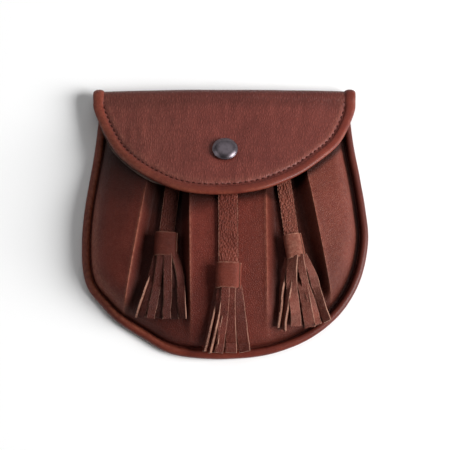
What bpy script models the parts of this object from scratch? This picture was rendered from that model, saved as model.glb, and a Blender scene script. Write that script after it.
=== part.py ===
"""Leather sporran pouch with a half-moon flap, a domed snap and three tassels, lying on its back.

Metres, +Z up. +X runs across the pouch, +Y toward its top and +Z out of its front. The origin is
the centre of the bounding box in X and Y, at the height of the surface that the pouch lies on.
The leather walls are height surfaces over a plan outline: a table gives the outline, a second
table gives the section heights along the pouch, and a third the pleats that cross them.
"""

import math

import bmesh
import bpy
import numpy as np
from mathutils import Vector

# Driving sizes
BODY_WIDTH = 0.180  # over the piping at its widest
POUCH_LENGTH = 0.166  # lowest piping to the top edge of the back panel
BELLY_DEPTH = 0.0285  # rise of the raised panels over the seam
LEATHER = 0.0018  # wall of the front, the back and the loops
SEAM_GAP = 0.0003  # clearance between pieces that are sewn face to face
PIPING_DIAMETER = 0.0054
SIDE_ROLL = 0.012  # plan width over which the front rises from the seam
ROLL_FULLNESS = 2.2  # exponent of that rise: 2 is a quarter circle, more is squarer
BACK_BOW = 0.0064  # how far the back is pressed in over the belt loops
BACK_ROLL = 0.014  # plan width over which the back bows in from the seam
MOUTH_DROP = 0.0075  # front panel's top edge below the back panel's top edge

FLAP_WIDTH = 0.1656
FLAP_DROP = 0.069  # hem below the back panel's top edge
FLAP_LEATHER = 0.0020
FLAP_SHIFT = -0.0005  # the flap sits a little to the left
FLAP_BEND = 0.0062  # how far the fold stands beyond the back panel's top edge, mid-leather
FLAP_CLEAR = 0.0047  # mid-leather of the flap over the centre panel, with room for strap and snap
FLAP_EDGE_CLEAR = 0.0027  # the same over the side panels
FLAP_CLEAR_FROM = 0.12  # share of half the body width where the first gives way to the second
FLAP_CLEAR_TO = 0.57
TAIL_LENGTH = 0.020  # part of the flap sewn to the back
TAIL_WIDTH = 0.124
BINDING_WIDTH = 0.0058
BINDING_THICKNESS = 0.0034

SNAP_DIAMETER = 0.0160
SNAP_DOME = 0.0034
SNAP_POST = 0.0046
SNAP_SOCKET = 0.0110
SNAP_DROP = 0.0385  # snap centre below the back panel's top edge
SNAP_PLATE = 0.0008

STRAP_LEATHER = 0.0018
STRAP_WIDTH = 0.0092
STRAP_START = 0.051  # hidden upper end of the straps below the back panel's top edge
HEAD_LENGTH = 0.0152
HEAD_WIDTH = 0.0152
HEAD_THICKNESS = 0.0078
STRIP_LEATHER = 0.0016
STRIP_WIDTH = 0.0054
FRINGE_LENGTH = 0.0385  # from the head's lower end to the tip of a strip that hangs straight
STRIP_ROOT = 0.2  # how far a strip reaches into the head, as a share of the head's length
STRIP_OVERLAP = 0.6  # lift of every second strip at its root, as a share of the strip leather
STRIP_LEVEL = 0.42  # height at which it leaves the head, as a share of the head's thickness
LYING_CLEAR = 0.0007  # straps and tassels over the front panel

LOOP_WIDTH = 0.020
LOOP_LENGTH = 0.046
LOOP_FOOT = 0.008  # sewn stretch at each end of a loop
LOOP_SLOPE = 0.006  # stretch over which it leaves the back
LOOP_SPREAD = 0.096  # centre to centre
LOOP_DROP = 0.055  # loop centre below the back panel's top edge

HALF = BODY_WIDTH / 2
SEAM_HEIGHT = PIPING_DIAMETER / 2
FOLD_TOP = POUCH_LENGTH + FLAP_BEND + FLAP_LEATHER / 2  # fold's outer face over the lowest piping
BOTTOM = -FOLD_TOP / 2
TOP = BOTTOM + POUCH_LENGTH
TAIL_HEIGHT = FLAP_LEATHER / 2

# Mesh rows and columns
FRONT_ROWS = 22
FRONT_SIDE_COLUMNS = 7
BACK_ROWS = 16
BACK_SIDE_COLUMNS = 5
BACK_COLUMNS = 11
PIPING_POINTS = 60
FLAP_COLUMNS = 26
FLAP_ROWS = 14
BEND_ROWS = 7
TAIL_ROWS = 3
BINDING_POINTS = 52


def table(columns, rows):
    """A short table as a dictionary of named columns."""
    return dict(zip(columns.split(), np.array(rows, float).T))


# The piping's outer outline from the left top round the bottom to the right top:
# across as a share of half the body width, up as a share of the pouch length
RIM = table("across up", [
    (-0.882, 1.030),
    (-0.914, 0.832),
    (-0.949, 0.705),
    (-0.984, 0.578),
    (-1.000, 0.452),
    (-0.985, 0.325),
    (-0.944, 0.262),
    (-0.856, 0.203),
    (-0.750, 0.143),
    (-0.574, 0.080),
    (-0.385, 0.022),
    (-0.100, 0.000),
    (0.180, 0.006),
    (0.370, 0.027),
    (0.600, 0.081),
    (0.800, 0.173),
    (0.936, 0.296),
    (1.000, 0.452),
    (0.985, 0.578),
    (0.950, 0.705),
    (0.909, 0.832),
    (0.872, 1.030),
])

# Sections along the pouch: up as a share of its length, height and pleat as shares of the belly
# depth, bow as a share of the back's bow, roll as a multiple of the side roll
SECTIONS = table("up height pleat bow roll", [
    (0.00, 0.34, 0.00, 0.50, 2.10),
    (0.07, 0.48, 0.03, 0.80, 2.00),
    (0.15, 0.66, 0.12, 1.00, 1.70),
    (0.24, 0.83, 0.25, 1.00, 1.25),
    (0.36, 0.97, 0.37, 1.00, 1.00),
    (0.48, 1.00, 0.41, 1.00, 1.00),
    (0.58, 0.95, 0.38, 1.00, 1.00),
    (0.69, 0.81, 0.31, 1.00, 1.00),
    (0.78, 0.66, 0.20, 0.85, 1.00),
    (0.87, 0.49, 0.09, 0.36, 1.00),
    (0.96, 0.34, 0.02, 0.30, 1.00),
    (1.00, 0.30, 0.02, 0.30, 1.00),
])

# How the belly falls off sideways: out as a share of half the body width
CROSS = table("out height", [
    (0.00, 1.00),
    (0.30, 1.00),
    (0.55, 0.94),
    (0.75, 0.72),
    (0.90, 0.50),
    (1.00, 0.38),
    (1.15, 0.26),
])

# Pleat lines from left to right: hem and foot are their places at the two levels below, as shares
# of half the body width, sunk is 1 on a valley floor, and columns counts mesh columns to the next
HEM_UP = 0.627
FOOT_UP = 0.205
PLEATS = table("hem foot sunk columns", [
    (-0.547, -0.685, 0, 3),
    (-0.475, -0.622, 1, 3),
    (-0.311, -0.300, 1, 3),
    (-0.246, -0.238, 0, 6),
    (0.281, 0.288, 0, 3),
    (0.345, 0.372, 1, 3),
    (0.505, 0.668, 1, 3),
    (0.590, 0.737, 0, 0),
])

# The flap's outer edge from left to right: across as a share of half the flap width, down as a
# share of the flap drop
FLAP_EDGE = table("across down", [
    (-1.000, 0.000),
    (-1.000, 0.070),
    (-0.971, 0.135),
    (-0.949, 0.214),
    (-0.900, 0.354),
    (-0.815, 0.550),
    (-0.670, 0.733),
    (-0.529, 0.849),
    (-0.389, 0.936),
    (-0.240, 0.984),
    (-0.050, 1.000),
    (0.140, 0.985),
    (0.303, 0.941),
    (0.442, 0.871),
    (0.585, 0.772),
    (0.722, 0.637),
    (0.871, 0.452),
    (0.965, 0.226),
    (1.000, 0.080),
    (1.000, 0.000),
])

# Tassels: start, head and tail are the places across of the strap's hidden end and of the head's
# two ends, as shares of half the body width; drop is the head's upper end below the back panel's
# top edge as a share of the pouch length; strap and width are shares of the two widths above
TASSELS = {
    "left": dict(start=-0.352, head=-0.402, tail=-0.410, drop=0.546, strap=1.0, width=1.0),
    "centre": dict(start=0.020, head=0.024, tail=0.019, drop=0.678, strap=1.304, width=1.053),
    "right": dict(start=0.402, head=0.459, tail=0.488, drop=0.554, strap=1.0, width=0.803),
}

# Strips of each fringe: root as a share of the head's width, across and down of the tip from the
# middle of the head's lower end as shares of the fringe length, width as a share of the strip width
STRIPS = {
    "left": table("root across down width", [
        (-0.36, -0.442, 0.922, 0.926),
        (-0.18, -0.255, 0.961, 1.000),
        (0.00, -0.099, 0.982, 1.000),
        (0.18, 0.068, 1.000, 0.926),
        (0.36, 0.270, 1.013, 1.037),
    ]),
    "centre": table("root across down width", [
        (-0.40, -0.358, 0.922, 0.556),
        (-0.24, -0.229, 0.948, 0.630),
        (-0.08, -0.104, 0.940, 0.926),
        (0.14, 0.057, 0.940, 1.148),
        (0.36, 0.249, 0.925, 1.185),
    ]),
    "right": table("root across down width", [
        (-0.38, -0.286, 1.091, 0.481),
        (-0.22, -0.161, 1.130, 0.519),
        (-0.06, 0.005, 1.065, 1.259),
        (0.18, 0.286, 1.039, 1.444),
        (0.36, 0.509, 0.974, 0.963),
    ]),
}

BODY_BROWN = (0.17, 0.050, 0.034)
TASSEL_BROWN = (0.20, 0.070, 0.050)
EDGE_BROWN = (0.14, 0.038, 0.026)
NICKEL = (0.20, 0.19, 0.19)


def smooth_through(knots, values, at):
    """Monotone cubic through a column of a table, read at `at`, level outside the table."""
    step = np.diff(knots)
    slope = np.diff(values) / step
    inner = np.where(
        slope[:-1] * slope[1:] > 0,
        2 * slope[:-1] * slope[1:] / np.where(slope[:-1] + slope[1:] == 0, 1, slope[:-1] + slope[1:]),
        0,
    )
    tangent = np.concatenate([[0], inner, [0]])
    at = np.clip(at, knots[0], knots[-1])
    i = np.clip(np.searchsorted(knots, at, side="right") - 1, 0, len(step) - 1)
    t = (at - knots[i]) / step[i]
    rise = values[i + 1] - values[i]
    start = tangent[i] * step[i]
    end = tangent[i + 1] * step[i]
    return values[i] + start * t + (3 * rise - 2 * start - end) * t**2 + (start + end - 2 * rise) * t**3


def smooth_step(t):
    t = np.clip(t, 0, 1)
    return t * t * (3 - 2 * t)


def outline_through(points, per_span=12):
    """Dense plan curve through a few points: centripetal Catmull-Rom."""
    p = np.concatenate([[2 * points[0] - points[1]], points, [2 * points[-1] - points[-2]]])
    knot = np.concatenate([[0], np.cumsum(np.linalg.norm(np.diff(p, axis=0), axis=1) ** 0.5)])
    curve = []
    for i in range(1, len(p) - 2):
        t = np.linspace(knot[i], knot[i + 1], per_span, endpoint=False)[:, None]
        k = knot[i - 1 : i + 3]
        a1 = ((k[1] - t) * p[i - 1] + (t - k[0]) * p[i]) / (k[1] - k[0])
        a2 = ((k[2] - t) * p[i] + (t - k[1]) * p[i + 1]) / (k[2] - k[1])
        a3 = ((k[3] - t) * p[i + 1] + (t - k[2]) * p[i + 2]) / (k[3] - k[2])
        b1 = ((k[2] - t) * a1 + (t - k[0]) * a2) / (k[2] - k[0])
        b2 = ((k[3] - t) * a2 + (t - k[1]) * a3) / (k[3] - k[1])
        curve.append(((k[2] - t) * b1 + (t - k[1]) * b2) / (k[2] - k[1]))
    return np.concatenate([*curve, [points[-1]]])


def lengths_along(line):
    return np.concatenate([[0], np.cumsum(np.linalg.norm(np.diff(line, axis=0), axis=1))])


def spaced(line, shares):
    """Points of a polyline at the given shares of its length."""
    run = lengths_along(line)
    at = np.asarray(shares) * run[-1]
    return np.stack([np.interp(at, run, line[:, axis]) for axis in range(line.shape[1])], axis=1)


def moved_in(line, distance):
    """A plan curve that runs left to right round the bottom, moved in toward the middle."""
    along = np.gradient(line, axis=0)
    along /= np.linalg.norm(along, axis=1)[:, None]
    return line + distance * np.stack([-along[:, 1], along[:, 0]], axis=1)


def rim_curve():
    return outline_through(
        np.stack([RIM["across"] * HALF, BOTTOM + RIM["up"] * POUCH_LENGTH], axis=1)
    )


def flap_curve():
    return outline_through(
        np.stack(
            [FLAP_SHIFT + FLAP_EDGE["across"] * FLAP_WIDTH / 2, TOP - FLAP_EDGE["down"] * FLAP_DROP],
            axis=1,
        )
    )


RIM_LINE = rim_curve()
SEAM_LINE = moved_in(RIM_LINE, PIPING_DIAMETER + SEAM_GAP)
FLAP_LINE = flap_curve()


def distance_to(line, x, y):
    """Plan distance from points to a polyline."""
    p = np.stack([np.ravel(x), np.ravel(y)], axis=1)[:, None]
    a = line[None, :-1]
    run = line[None, 1:] - a
    share = np.clip(((p - a) * run).sum(2) / (run * run).sum(2), 0, 1)
    return np.linalg.norm(p - a - share[..., None] * run, axis=2).min(1).reshape(np.shape(x))


def section(column, y):
    return smooth_through(SECTIONS["up"], SECTIONS[column], (y - BOTTOM) / POUCH_LENGTH)


def pleat_line(hem, foot, y):
    """Place across of a pleat line at a level, straight from hem to foot and on."""
    down = (HEM_UP - (y - BOTTOM) / POUCH_LENGTH) / (HEM_UP - FOOT_UP)
    return HALF * (hem + (foot - hem) * down)


def belly(x, y):
    """Height over the seam of the smooth envelope that the raised panels touch."""
    return BELLY_DEPTH * section("height", y) * smooth_through(CROSS["out"], CROSS["height"], abs(x) / HALF)


def sunk(x, y):
    """1 on a valley floor, 0 on a raised panel, a smooth wall between two pleat lines."""
    depth = np.zeros(np.shape(x))
    for i in range(len(PLEATS["hem"]) - 1):
        left = pleat_line(PLEATS["hem"][i], PLEATS["foot"][i], y)
        right = pleat_line(PLEATS["hem"][i + 1], PLEATS["foot"][i + 1], y)
        share = smooth_step((x - left) / (right - left))
        depth = depth + (PLEATS["sunk"][i + 1] - PLEATS["sunk"][i]) * share
    return depth


def front_height(x, y):
    """Outer face of the front panel: it rolls up from the seam and sinks in the pleats."""
    roll = SIDE_ROLL * section("roll", y)
    in_share = np.clip(distance_to(SEAM_LINE, x, y) / roll, 0, 1)
    rise = (1 - (1 - in_share) ** ROLL_FULLNESS) ** (1 / ROLL_FULLNESS)
    panel = belly(x, y) - BELLY_DEPTH * section("pleat", y) * sunk(x, y)
    return SEAM_HEIGHT + SEAM_GAP / 2 + rise * panel


def back_height(x, y):
    """Outer (lower) face of the back panel: flat under the front's wall, then bowed in."""
    inside = distance_to(SEAM_LINE, x, y) - 2 * LEATHER
    in_share = np.clip(inside / BACK_ROLL, 0, 1)
    bow = BACK_BOW * section("bow", y) * np.sin(in_share * math.pi / 2)
    return SEAM_HEIGHT - SEAM_GAP / 2 - LEATHER + bow


def lying_height(x, y):
    """What a strap or a strip lies on: the front panel, or the piping beyond the seam."""
    on_piping = smooth_step(1 - distance_to(RIM_LINE, x, y) / (PIPING_DIAMETER + 2 * SEAM_GAP))
    return np.maximum(front_height(x, y), np.where(on_piping > 0, PIPING_DIAMETER, 0))


def flap_height(x, y):
    """Mid-leather of the flap: the envelope of the raised panels and the room over it."""
    aside = smooth_step((abs(x) / HALF - FLAP_CLEAR_FROM) / (FLAP_CLEAR_TO - FLAP_CLEAR_FROM))
    clear = FLAP_CLEAR + (FLAP_EDGE_CLEAR - FLAP_CLEAR) * aside
    return SEAM_HEIGHT + belly(x, y) + clear


def coons(top, left, bottom, right, across, down):
    """Plan points between four boundary curves, sampled at the shares `across` and `down`."""
    s = across[None, :, None]
    t = down[:, None, None]
    ruled = (1 - t) * top[None] + t * bottom[None] + (1 - s) * left[:, None] + s * right[:, None]
    corners = (1 - s) * (1 - t) * top[0] + s * (1 - t) * top[-1] + (1 - s) * t * bottom[0]
    return ruled - corners - s * t * bottom[-1]


def clear_scene():
    for obj in list(bpy.data.objects):
        bpy.data.objects.remove(obj)


def principled(name, colour, roughness, metallic=0.0):
    material = bpy.data.materials.new(name)
    material.use_nodes = True
    shader = material.node_tree.nodes["Principled BSDF"]
    shader.inputs["Base Color"].default_value = (*colour, 1)
    shader.inputs["Roughness"].default_value = roughness
    shader.inputs["Metallic"].default_value = metallic
    return material


def add_object(name, points, faces, material):
    mesh = bpy.data.meshes.new(name)
    mesh.from_pydata(np.asarray(points, float).tolist(), [], faces)
    mesh.materials.append(material)
    mesh.shade_smooth()
    mesh.set_sharp_from_angle(angle=math.radians(40))
    obj = bpy.data.objects.new(name, mesh)
    bpy.context.collection.objects.link(obj)
    return obj


def grid_faces(rows, columns, around=False):
    """Quads of a grid of points, counter-clockwise seen from above when rows run toward -Y."""
    faces = []
    for i in range(rows - 1):
        for j in range(columns if around else columns - 1):
            k = (j + 1) % columns
            faces.append((i * columns + j, (i + 1) * columns + j, (i + 1) * columns + k, i * columns + k))
    return faces


def grid_normals(grid):
    """Unit normals of a grid surface whose rows run toward -Y where it faces +Z."""
    normal = np.cross(np.gradient(grid, axis=0), np.gradient(grid, axis=1))
    return normal / np.linalg.norm(normal, axis=2)[..., None]


def leather_sheet(name, outer, inner, material):
    """A closed wall between two grid surfaces with the same rows and columns."""
    rows, columns, _ = outer.shape
    count = rows * columns
    faces = grid_faces(rows, columns)
    faces += [tuple(count + k for k in reversed(face)) for face in faces]
    index = np.arange(count).reshape(rows, columns)
    edge = np.concatenate([index[0, :-1], index[:-1, -1], index[-1, :0:-1], index[:0:-1, 0]])
    after = np.roll(edge, -1)
    faces += [(int(a), int(b), int(b) + count, int(a) + count) for a, b in zip(edge, after)]
    points = np.concatenate([outer.reshape(-1, 3), inner.reshape(-1, 3)])
    return add_object(name, points, faces, material)


def swept(name, rings, material):
    """A closed body through rings of points, with flat ends."""
    count, sides, _ = rings.shape
    faces = grid_faces(count, sides, around=True)
    faces.append(tuple(range(sides)))
    faces.append(tuple(reversed(range((count - 1) * sides, count * sides))))
    obj = add_object(name, rings.reshape(-1, 3), faces, material)
    shape = bmesh.new()
    shape.from_mesh(obj.data)
    bmesh.ops.recalc_face_normals(shape, faces=shape.faces)
    shape.to_mesh(obj.data)
    shape.free()
    return obj


def level_sides(path):
    """Unit vectors level and square to a path, pointing to its left seen from above."""
    along = np.gradient(path, axis=0)
    side = np.stack([-along[:, 1], along[:, 0], np.zeros(len(path))], axis=1)
    return side / np.linalg.norm(side, axis=1)[:, None]


def ribbon_rings(path, width, thickness):
    """Four corners round each point of a path that is the middle of the ribbon's lower face."""
    side = level_sides(path) * (np.asarray(width) / 2).reshape(-1, 1)
    along = np.gradient(path, axis=0)
    normal = np.cross(along, level_sides(path))
    normal *= np.sign(normal[:, 2:3]) * thickness / np.linalg.norm(normal, axis=1)[:, None]
    return np.stack([path - side, path - side + normal, path + side + normal, path + side], axis=1)


def highest_under(surface, xy, sides, width):
    """The surface's highest point under a ribbon's width, at each point of its path."""
    heights = [
        surface(xy[:, 0] + share * width * sides[:, 0], xy[:, 1] + share * width * sides[:, 1])
        for share in (-0.5, -0.25, 0, 0.25, 0.5)
    ]
    return np.max(heights, axis=0)


def front_columns():
    """Hem and foot shares of every mesh column between the outer pleat lines."""
    hem, foot = [], []
    for i in range(len(PLEATS["hem"]) - 1):
        share = np.linspace(0, 1, int(PLEATS["columns"][i]), endpoint=False)
        for column, values in ((hem, PLEATS["hem"]), (foot, PLEATS["foot"])):
            column.extend(values[i] + (values[i + 1] - values[i]) * share)
    return np.array(hem + [PLEATS["hem"][-1]]), np.array(foot + [PLEATS["foot"][-1]])


def panel_plan(top_y, rows, side_columns, hem, foot):
    """Plan grid inside the seam: straight columns along the pleats, curved ones beside them."""
    closer_below = 1.4
    down = 1 - (1 - np.linspace(0, 1, rows + 1)) ** closer_below
    seam = SEAM_LINE
    middle = []
    ends = []
    for column_hem, column_foot in zip(hem, foot):
        beside = seam[:, 0] - pleat_line(column_hem, column_foot, seam[:, 1])
        low = seam[:, 1] < BOTTOM + 0.5 * POUCH_LENGTH
        cross = np.flatnonzero((beside[:-1] < 0) & (beside[1:] >= 0) & low[:-1])[0]
        share = beside[cross] / (beside[cross] - beside[cross + 1])
        end = seam[cross] + share * (seam[cross + 1] - seam[cross])
        start = np.array([pleat_line(column_hem, column_foot, top_y), top_y])
        ends.append((cross, end))
        middle.append(start + down[:, None] * (end - start))
    middle = np.stack(middle, axis=1)
    left = side_plan(seam, *ends[0], middle[:, 0], top_y, down, side_columns)
    mirrored = seam[::-1] * (-1, 1)
    cross, end = ends[-1]
    right = side_plan(
        mirrored, len(seam) - 2 - cross, end * (-1, 1), middle[:, -1] * (-1, 1), top_y, down, side_columns
    )
    return np.concatenate([left[:, :-1], middle, (right * (-1, 1))[:, -2::-1]], axis=1)


def side_plan(seam, cross, end, inner, top_y, down, columns):
    """Coons patch between the left seam and the outermost pleat line."""
    first = np.flatnonzero(seam[:, 1] < top_y)[0]
    level = (seam[first - 1, 1] - top_y) / (seam[first - 1, 1] - seam[first, 1])
    start = seam[first - 1] + level * (seam[first] - seam[first - 1])
    edge = np.concatenate([[start], seam[first : cross + 1], [end]])
    corner = 0.82  # share of the seam's length that the patch's left side takes
    closer_outside = 1.5
    across = np.linspace(0, 1, columns + 1) ** closer_outside
    left = spaced(edge, down * corner)
    bottom = spaced(edge, corner + across * (1 - corner))
    top = start + across[:, None] * (inner[0] - start)
    return coons(top, left, bottom, inner, across, down)


def with_height(plan, surface):
    return np.dstack([plan, surface(plan[..., 0], plan[..., 1])])


def make_front_panel(material):
    hem, foot = front_columns()
    plan = panel_plan(TOP - MOUTH_DROP, FRONT_ROWS, FRONT_SIDE_COLUMNS, hem, foot)
    outer = with_height(plan, front_height)
    normal = grid_normals(outer)
    for edge in (np.s_[:, 0], np.s_[:, -1], np.s_[-1, :]):
        normal[edge][:, 2] = 0
        normal[edge] /= np.linalg.norm(normal[edge], axis=1)[:, None]
    return leather_sheet("front_panel", outer, outer - LEATHER * normal, material)


def make_back_panel(material):
    hem = np.linspace(PLEATS["hem"][0], PLEATS["hem"][-1], BACK_COLUMNS)
    foot = np.linspace(PLEATS["foot"][0], PLEATS["foot"][-1], BACK_COLUMNS)
    lower = with_height(panel_plan(TOP, BACK_ROWS, BACK_SIDE_COLUMNS, hem, foot), back_height)
    return leather_sheet("back_panel", lower + (0, 0, LEATHER), lower, material)


def make_piping(material):
    line = moved_in(RIM_LINE, PIPING_DIAMETER / 2)
    line = line[line[:, 1] < TOP - MOUTH_DROP]
    points = spaced(line, np.linspace(0, 1, PIPING_POINTS))
    curve = bpy.data.curves.new("body_piping", "CURVE")
    curve.dimensions = "3D"
    curve.bevel_depth = PIPING_DIAMETER / 2
    curve.bevel_resolution = 2
    curve.use_fill_caps = True
    spline = curve.splines.new("POLY")
    spline.points.add(len(points) - 1)
    for point, (x, y) in zip(spline.points, points):
        point.co = (x, y, SEAM_HEIGHT, 1)
    curve.materials.append(material)
    obj = bpy.data.objects.new("body_piping", curve)
    bpy.context.collection.objects.link(obj)
    return obj


def bend_points(x, angle):
    """Mid-leather of the fold over the top: angle 0 is the tail's side, 180 the front's."""
    top_height = flap_height(x, np.full(np.shape(x), TOP))
    middle = (top_height + TAIL_HEIGHT) / 2
    y = TOP + FLAP_BEND * np.sin(angle)
    z = middle - (middle - TAIL_HEIGHT) * np.cos(angle)
    return np.dstack([x, y, z])


def make_flap(material):
    """Half-moon front, fold and sewn tail as one sheet of leather."""
    edge = moved_in(FLAP_LINE, BINDING_WIDTH + SEAM_GAP)
    corner = 0.13  # share of the edge's length taken by each side of the mesh grid
    across = np.linspace(0, 1, FLAP_COLUMNS + 1)
    down = np.linspace(0, 1, FLAP_ROWS + 1)
    left = spaced(edge, down * corner)
    right = spaced(edge, 1 - down * corner)
    bottom = spaced(edge, corner + across * (1 - 2 * corner))
    top = edge[0] + across[:, None] * (edge[-1] - edge[0])
    plan = coons(top, left, bottom, right, across, down)
    front = with_height(plan, flap_height)
    angle = np.linspace(0, math.pi, BEND_ROWS + 1)[:-1, None]
    narrow = 1 - (1 - TAIL_WIDTH / (edge[-1, 0] - edge[0, 0])) * smooth_step(1 - 2 * angle / math.pi)
    bend = bend_points(narrow * top[None, :, 0], angle + 0 * top[None, :, 0])
    tail_y = np.linspace(TOP - TAIL_LENGTH, TOP, TAIL_ROWS + 1)[:-1, None]
    tail_x = np.broadcast_to(bend[0, :, 0], (TAIL_ROWS, FLAP_COLUMNS + 1))
    tail = np.dstack([tail_x, tail_y + 0 * tail_x, np.full(tail_x.shape, TAIL_HEIGHT)])
    sheet = np.concatenate([tail, bend, front])
    half = grid_normals(sheet) * FLAP_LEATHER / 2
    obj = leather_sheet("flap", sheet + half, sheet - half, material)
    cut_snap_hole(obj)
    return obj


def snap_frame():
    """Where the snap sits on the flap's mid-leather, and the flap's slope there."""
    y = TOP - SNAP_DROP
    step = SNAP_DIAMETER / 4
    low, here, high = flap_height(np.zeros(3), np.array([y - step, y, y + step]))
    return Vector((0, y, here)), math.atan2(high - low, 2 * step)


def cut_snap_hole(flap):
    place, slope = snap_frame()
    bpy.ops.mesh.primitive_cylinder_add(
        vertices=16, radius=SNAP_POST / 2 + SEAM_GAP, depth=6 * FLAP_LEATHER, location=place,
        rotation=(slope, 0, 0),
    )
    cutter = bpy.context.object
    cutter.name = "snap_hole"
    cutter.hide_render = True
    cutter.display_type = "WIRE"
    cut = flap.modifiers.new("snap hole", "BOOLEAN")
    cut.operation = "DIFFERENCE"
    cut.object = cutter


def turned(name, profile, material, sides=20):
    """A body of revolution about Z through (radius, height) points that start and end on the axis."""
    angle = np.arange(sides) * 2 * math.pi / sides
    radius, height = np.array(profile[1:-1]).T
    rings = np.stack([
        radius[:, None] * np.cos(angle),
        radius[:, None] * np.sin(angle),
        height[:, None] + 0 * angle,
    ], axis=2)
    points = np.concatenate([rings.reshape(-1, 3), [(0, 0, profile[0][1]), (0, 0, profile[-1][1])]])
    faces = grid_faces(len(radius), sides, around=True)
    top, low, last = len(points) - 2, len(points) - 1, (len(radius) - 1) * sides
    for j in range(sides):
        k = (j + 1) % sides
        faces.append((top, j, k))
        faces.append((low, last + k, last + j))
    return add_object(name, points, faces, material)


def make_snap(metal):
    place, slope = snap_frame()
    seat = FLAP_LEATHER / 2 + SEAM_GAP
    cap, post, socket = SNAP_DIAMETER / 2, SNAP_POST / 2, SNAP_SOCKET / 2
    rim = 0.30 * SNAP_DOME
    cap_obj = turned("snap_cap", [
        (0, seat + SNAP_DOME),
        (0.40 * cap, seat + 0.93 * SNAP_DOME),
        (0.72 * cap, seat + 0.72 * SNAP_DOME),
        (0.93 * cap, seat + 0.45 * SNAP_DOME),
        (cap, seat + rim),
        (cap, seat + 0.1 * rim),
        (0.97 * cap, seat),
        (post, seat),
        (post, -seat),
        (socket, -seat),
        (socket, -seat - SNAP_PLATE),
        (0, -seat - SNAP_PLATE),
    ], metal)
    cap_obj.location = place
    cap_obj.rotation_euler = (slope, 0, 0)
    ground = front_height(np.zeros(1), np.array([place.y]))[0]
    lift = 1.5 * SEAM_GAP
    height = (place.z - ground) * math.cos(slope) - seat - SNAP_PLATE - SEAM_GAP - lift
    stud = turned("snap_stud", [
        (0, height),
        (0.5 * socket, height),
        (0.6 * socket, 0.4 * height),
        (0.9 * socket, 0.3 * height),
        (0.9 * socket, 0),
        (0, 0),
    ], metal)
    stud.location = (0, place.y + lift * math.sin(-slope), ground + lift * math.cos(slope))
    stud.rotation_euler = (slope, 0, 0)


def flap_normals(x, y):
    step = LEATHER
    nx = (flap_height(x - step, y) - flap_height(x + step, y)) / (2 * step)
    ny = (flap_height(x, y - step) - flap_height(x, y + step)) / (2 * step)
    normal = np.stack([nx, ny, np.ones(len(x))], axis=1)
    return normal / np.linalg.norm(normal, axis=1)[:, None]


def make_flap_binding(material):
    """A rounded edge that runs round the half moon and over the fold at both of its ends."""
    line = moved_in(FLAP_LINE, BINDING_WIDTH / 2)
    points = spaced(line, np.linspace(0, 1, BINDING_POINTS))
    x, y = points.T
    front = np.stack([x, y, flap_height(x, y)], axis=1)
    normal = flap_normals(x, y)
    over = np.radians([105, 125, 150])[:, None]
    start = bend_points(np.full((3, 1), x[0]), over)[:, 0]
    end = bend_points(np.full((3, 1), x[-1]), over[::-1])[:, 0]
    turn = np.stack([0 * over[:, 0], np.sin(over[:, 0]), -np.cos(over[:, 0])], axis=1)
    path = np.concatenate([start, front, end])
    normal = np.concatenate([turn, normal, turn[::-1]])
    along = np.gradient(path, axis=0)
    inward = np.cross(normal, along)
    inward /= np.linalg.norm(inward, axis=1)[:, None]
    angle = np.arange(8) * math.pi / 4
    flat = np.cos(angle)[None, :, None] * inward[:, None] * BINDING_WIDTH / 2
    tall = np.sin(angle)[None, :, None] * normal[:, None] * BINDING_THICKNESS / 2
    return swept("flap_binding", path[:, None] + flat + tall, material)


def make_strap(side, material):
    """A flat strap from its hidden end under the flap down to the tassel's head."""
    facts = TASSELS[side]
    width = facts["strap"] * STRAP_WIDTH
    start = np.array([facts["start"] * HALF, TOP - STRAP_START])
    end = np.array([facts["head"] * HALF, TOP - facts["drop"] * POUCH_LENGTH + LYING_CLEAR])
    xy = start + np.linspace(0, 1, 11)[:, None] * (end - start)
    sides = level_sides(np.column_stack([xy, np.zeros(len(xy))]))
    z = highest_under(lying_height, xy, sides, width) + LYING_CLEAR
    path = np.column_stack([xy, z])
    return swept("tassel_strap_" + side, ribbon_rings(path, width, STRAP_LEATHER), material)


def tassel_axis(side):
    """Head's two ends in plan, and the direction from one to the other."""
    facts = TASSELS[side]
    upper = np.array([facts["head"] * HALF, TOP - facts["drop"] * POUCH_LENGTH])
    lean = np.array([(facts["tail"] - facts["head"]) * HALF, 0])
    along = lean + (0, -math.sqrt(HEAD_LENGTH**2 - lean[0] ** 2))
    return upper, upper + along, along / HEAD_LENGTH


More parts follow.
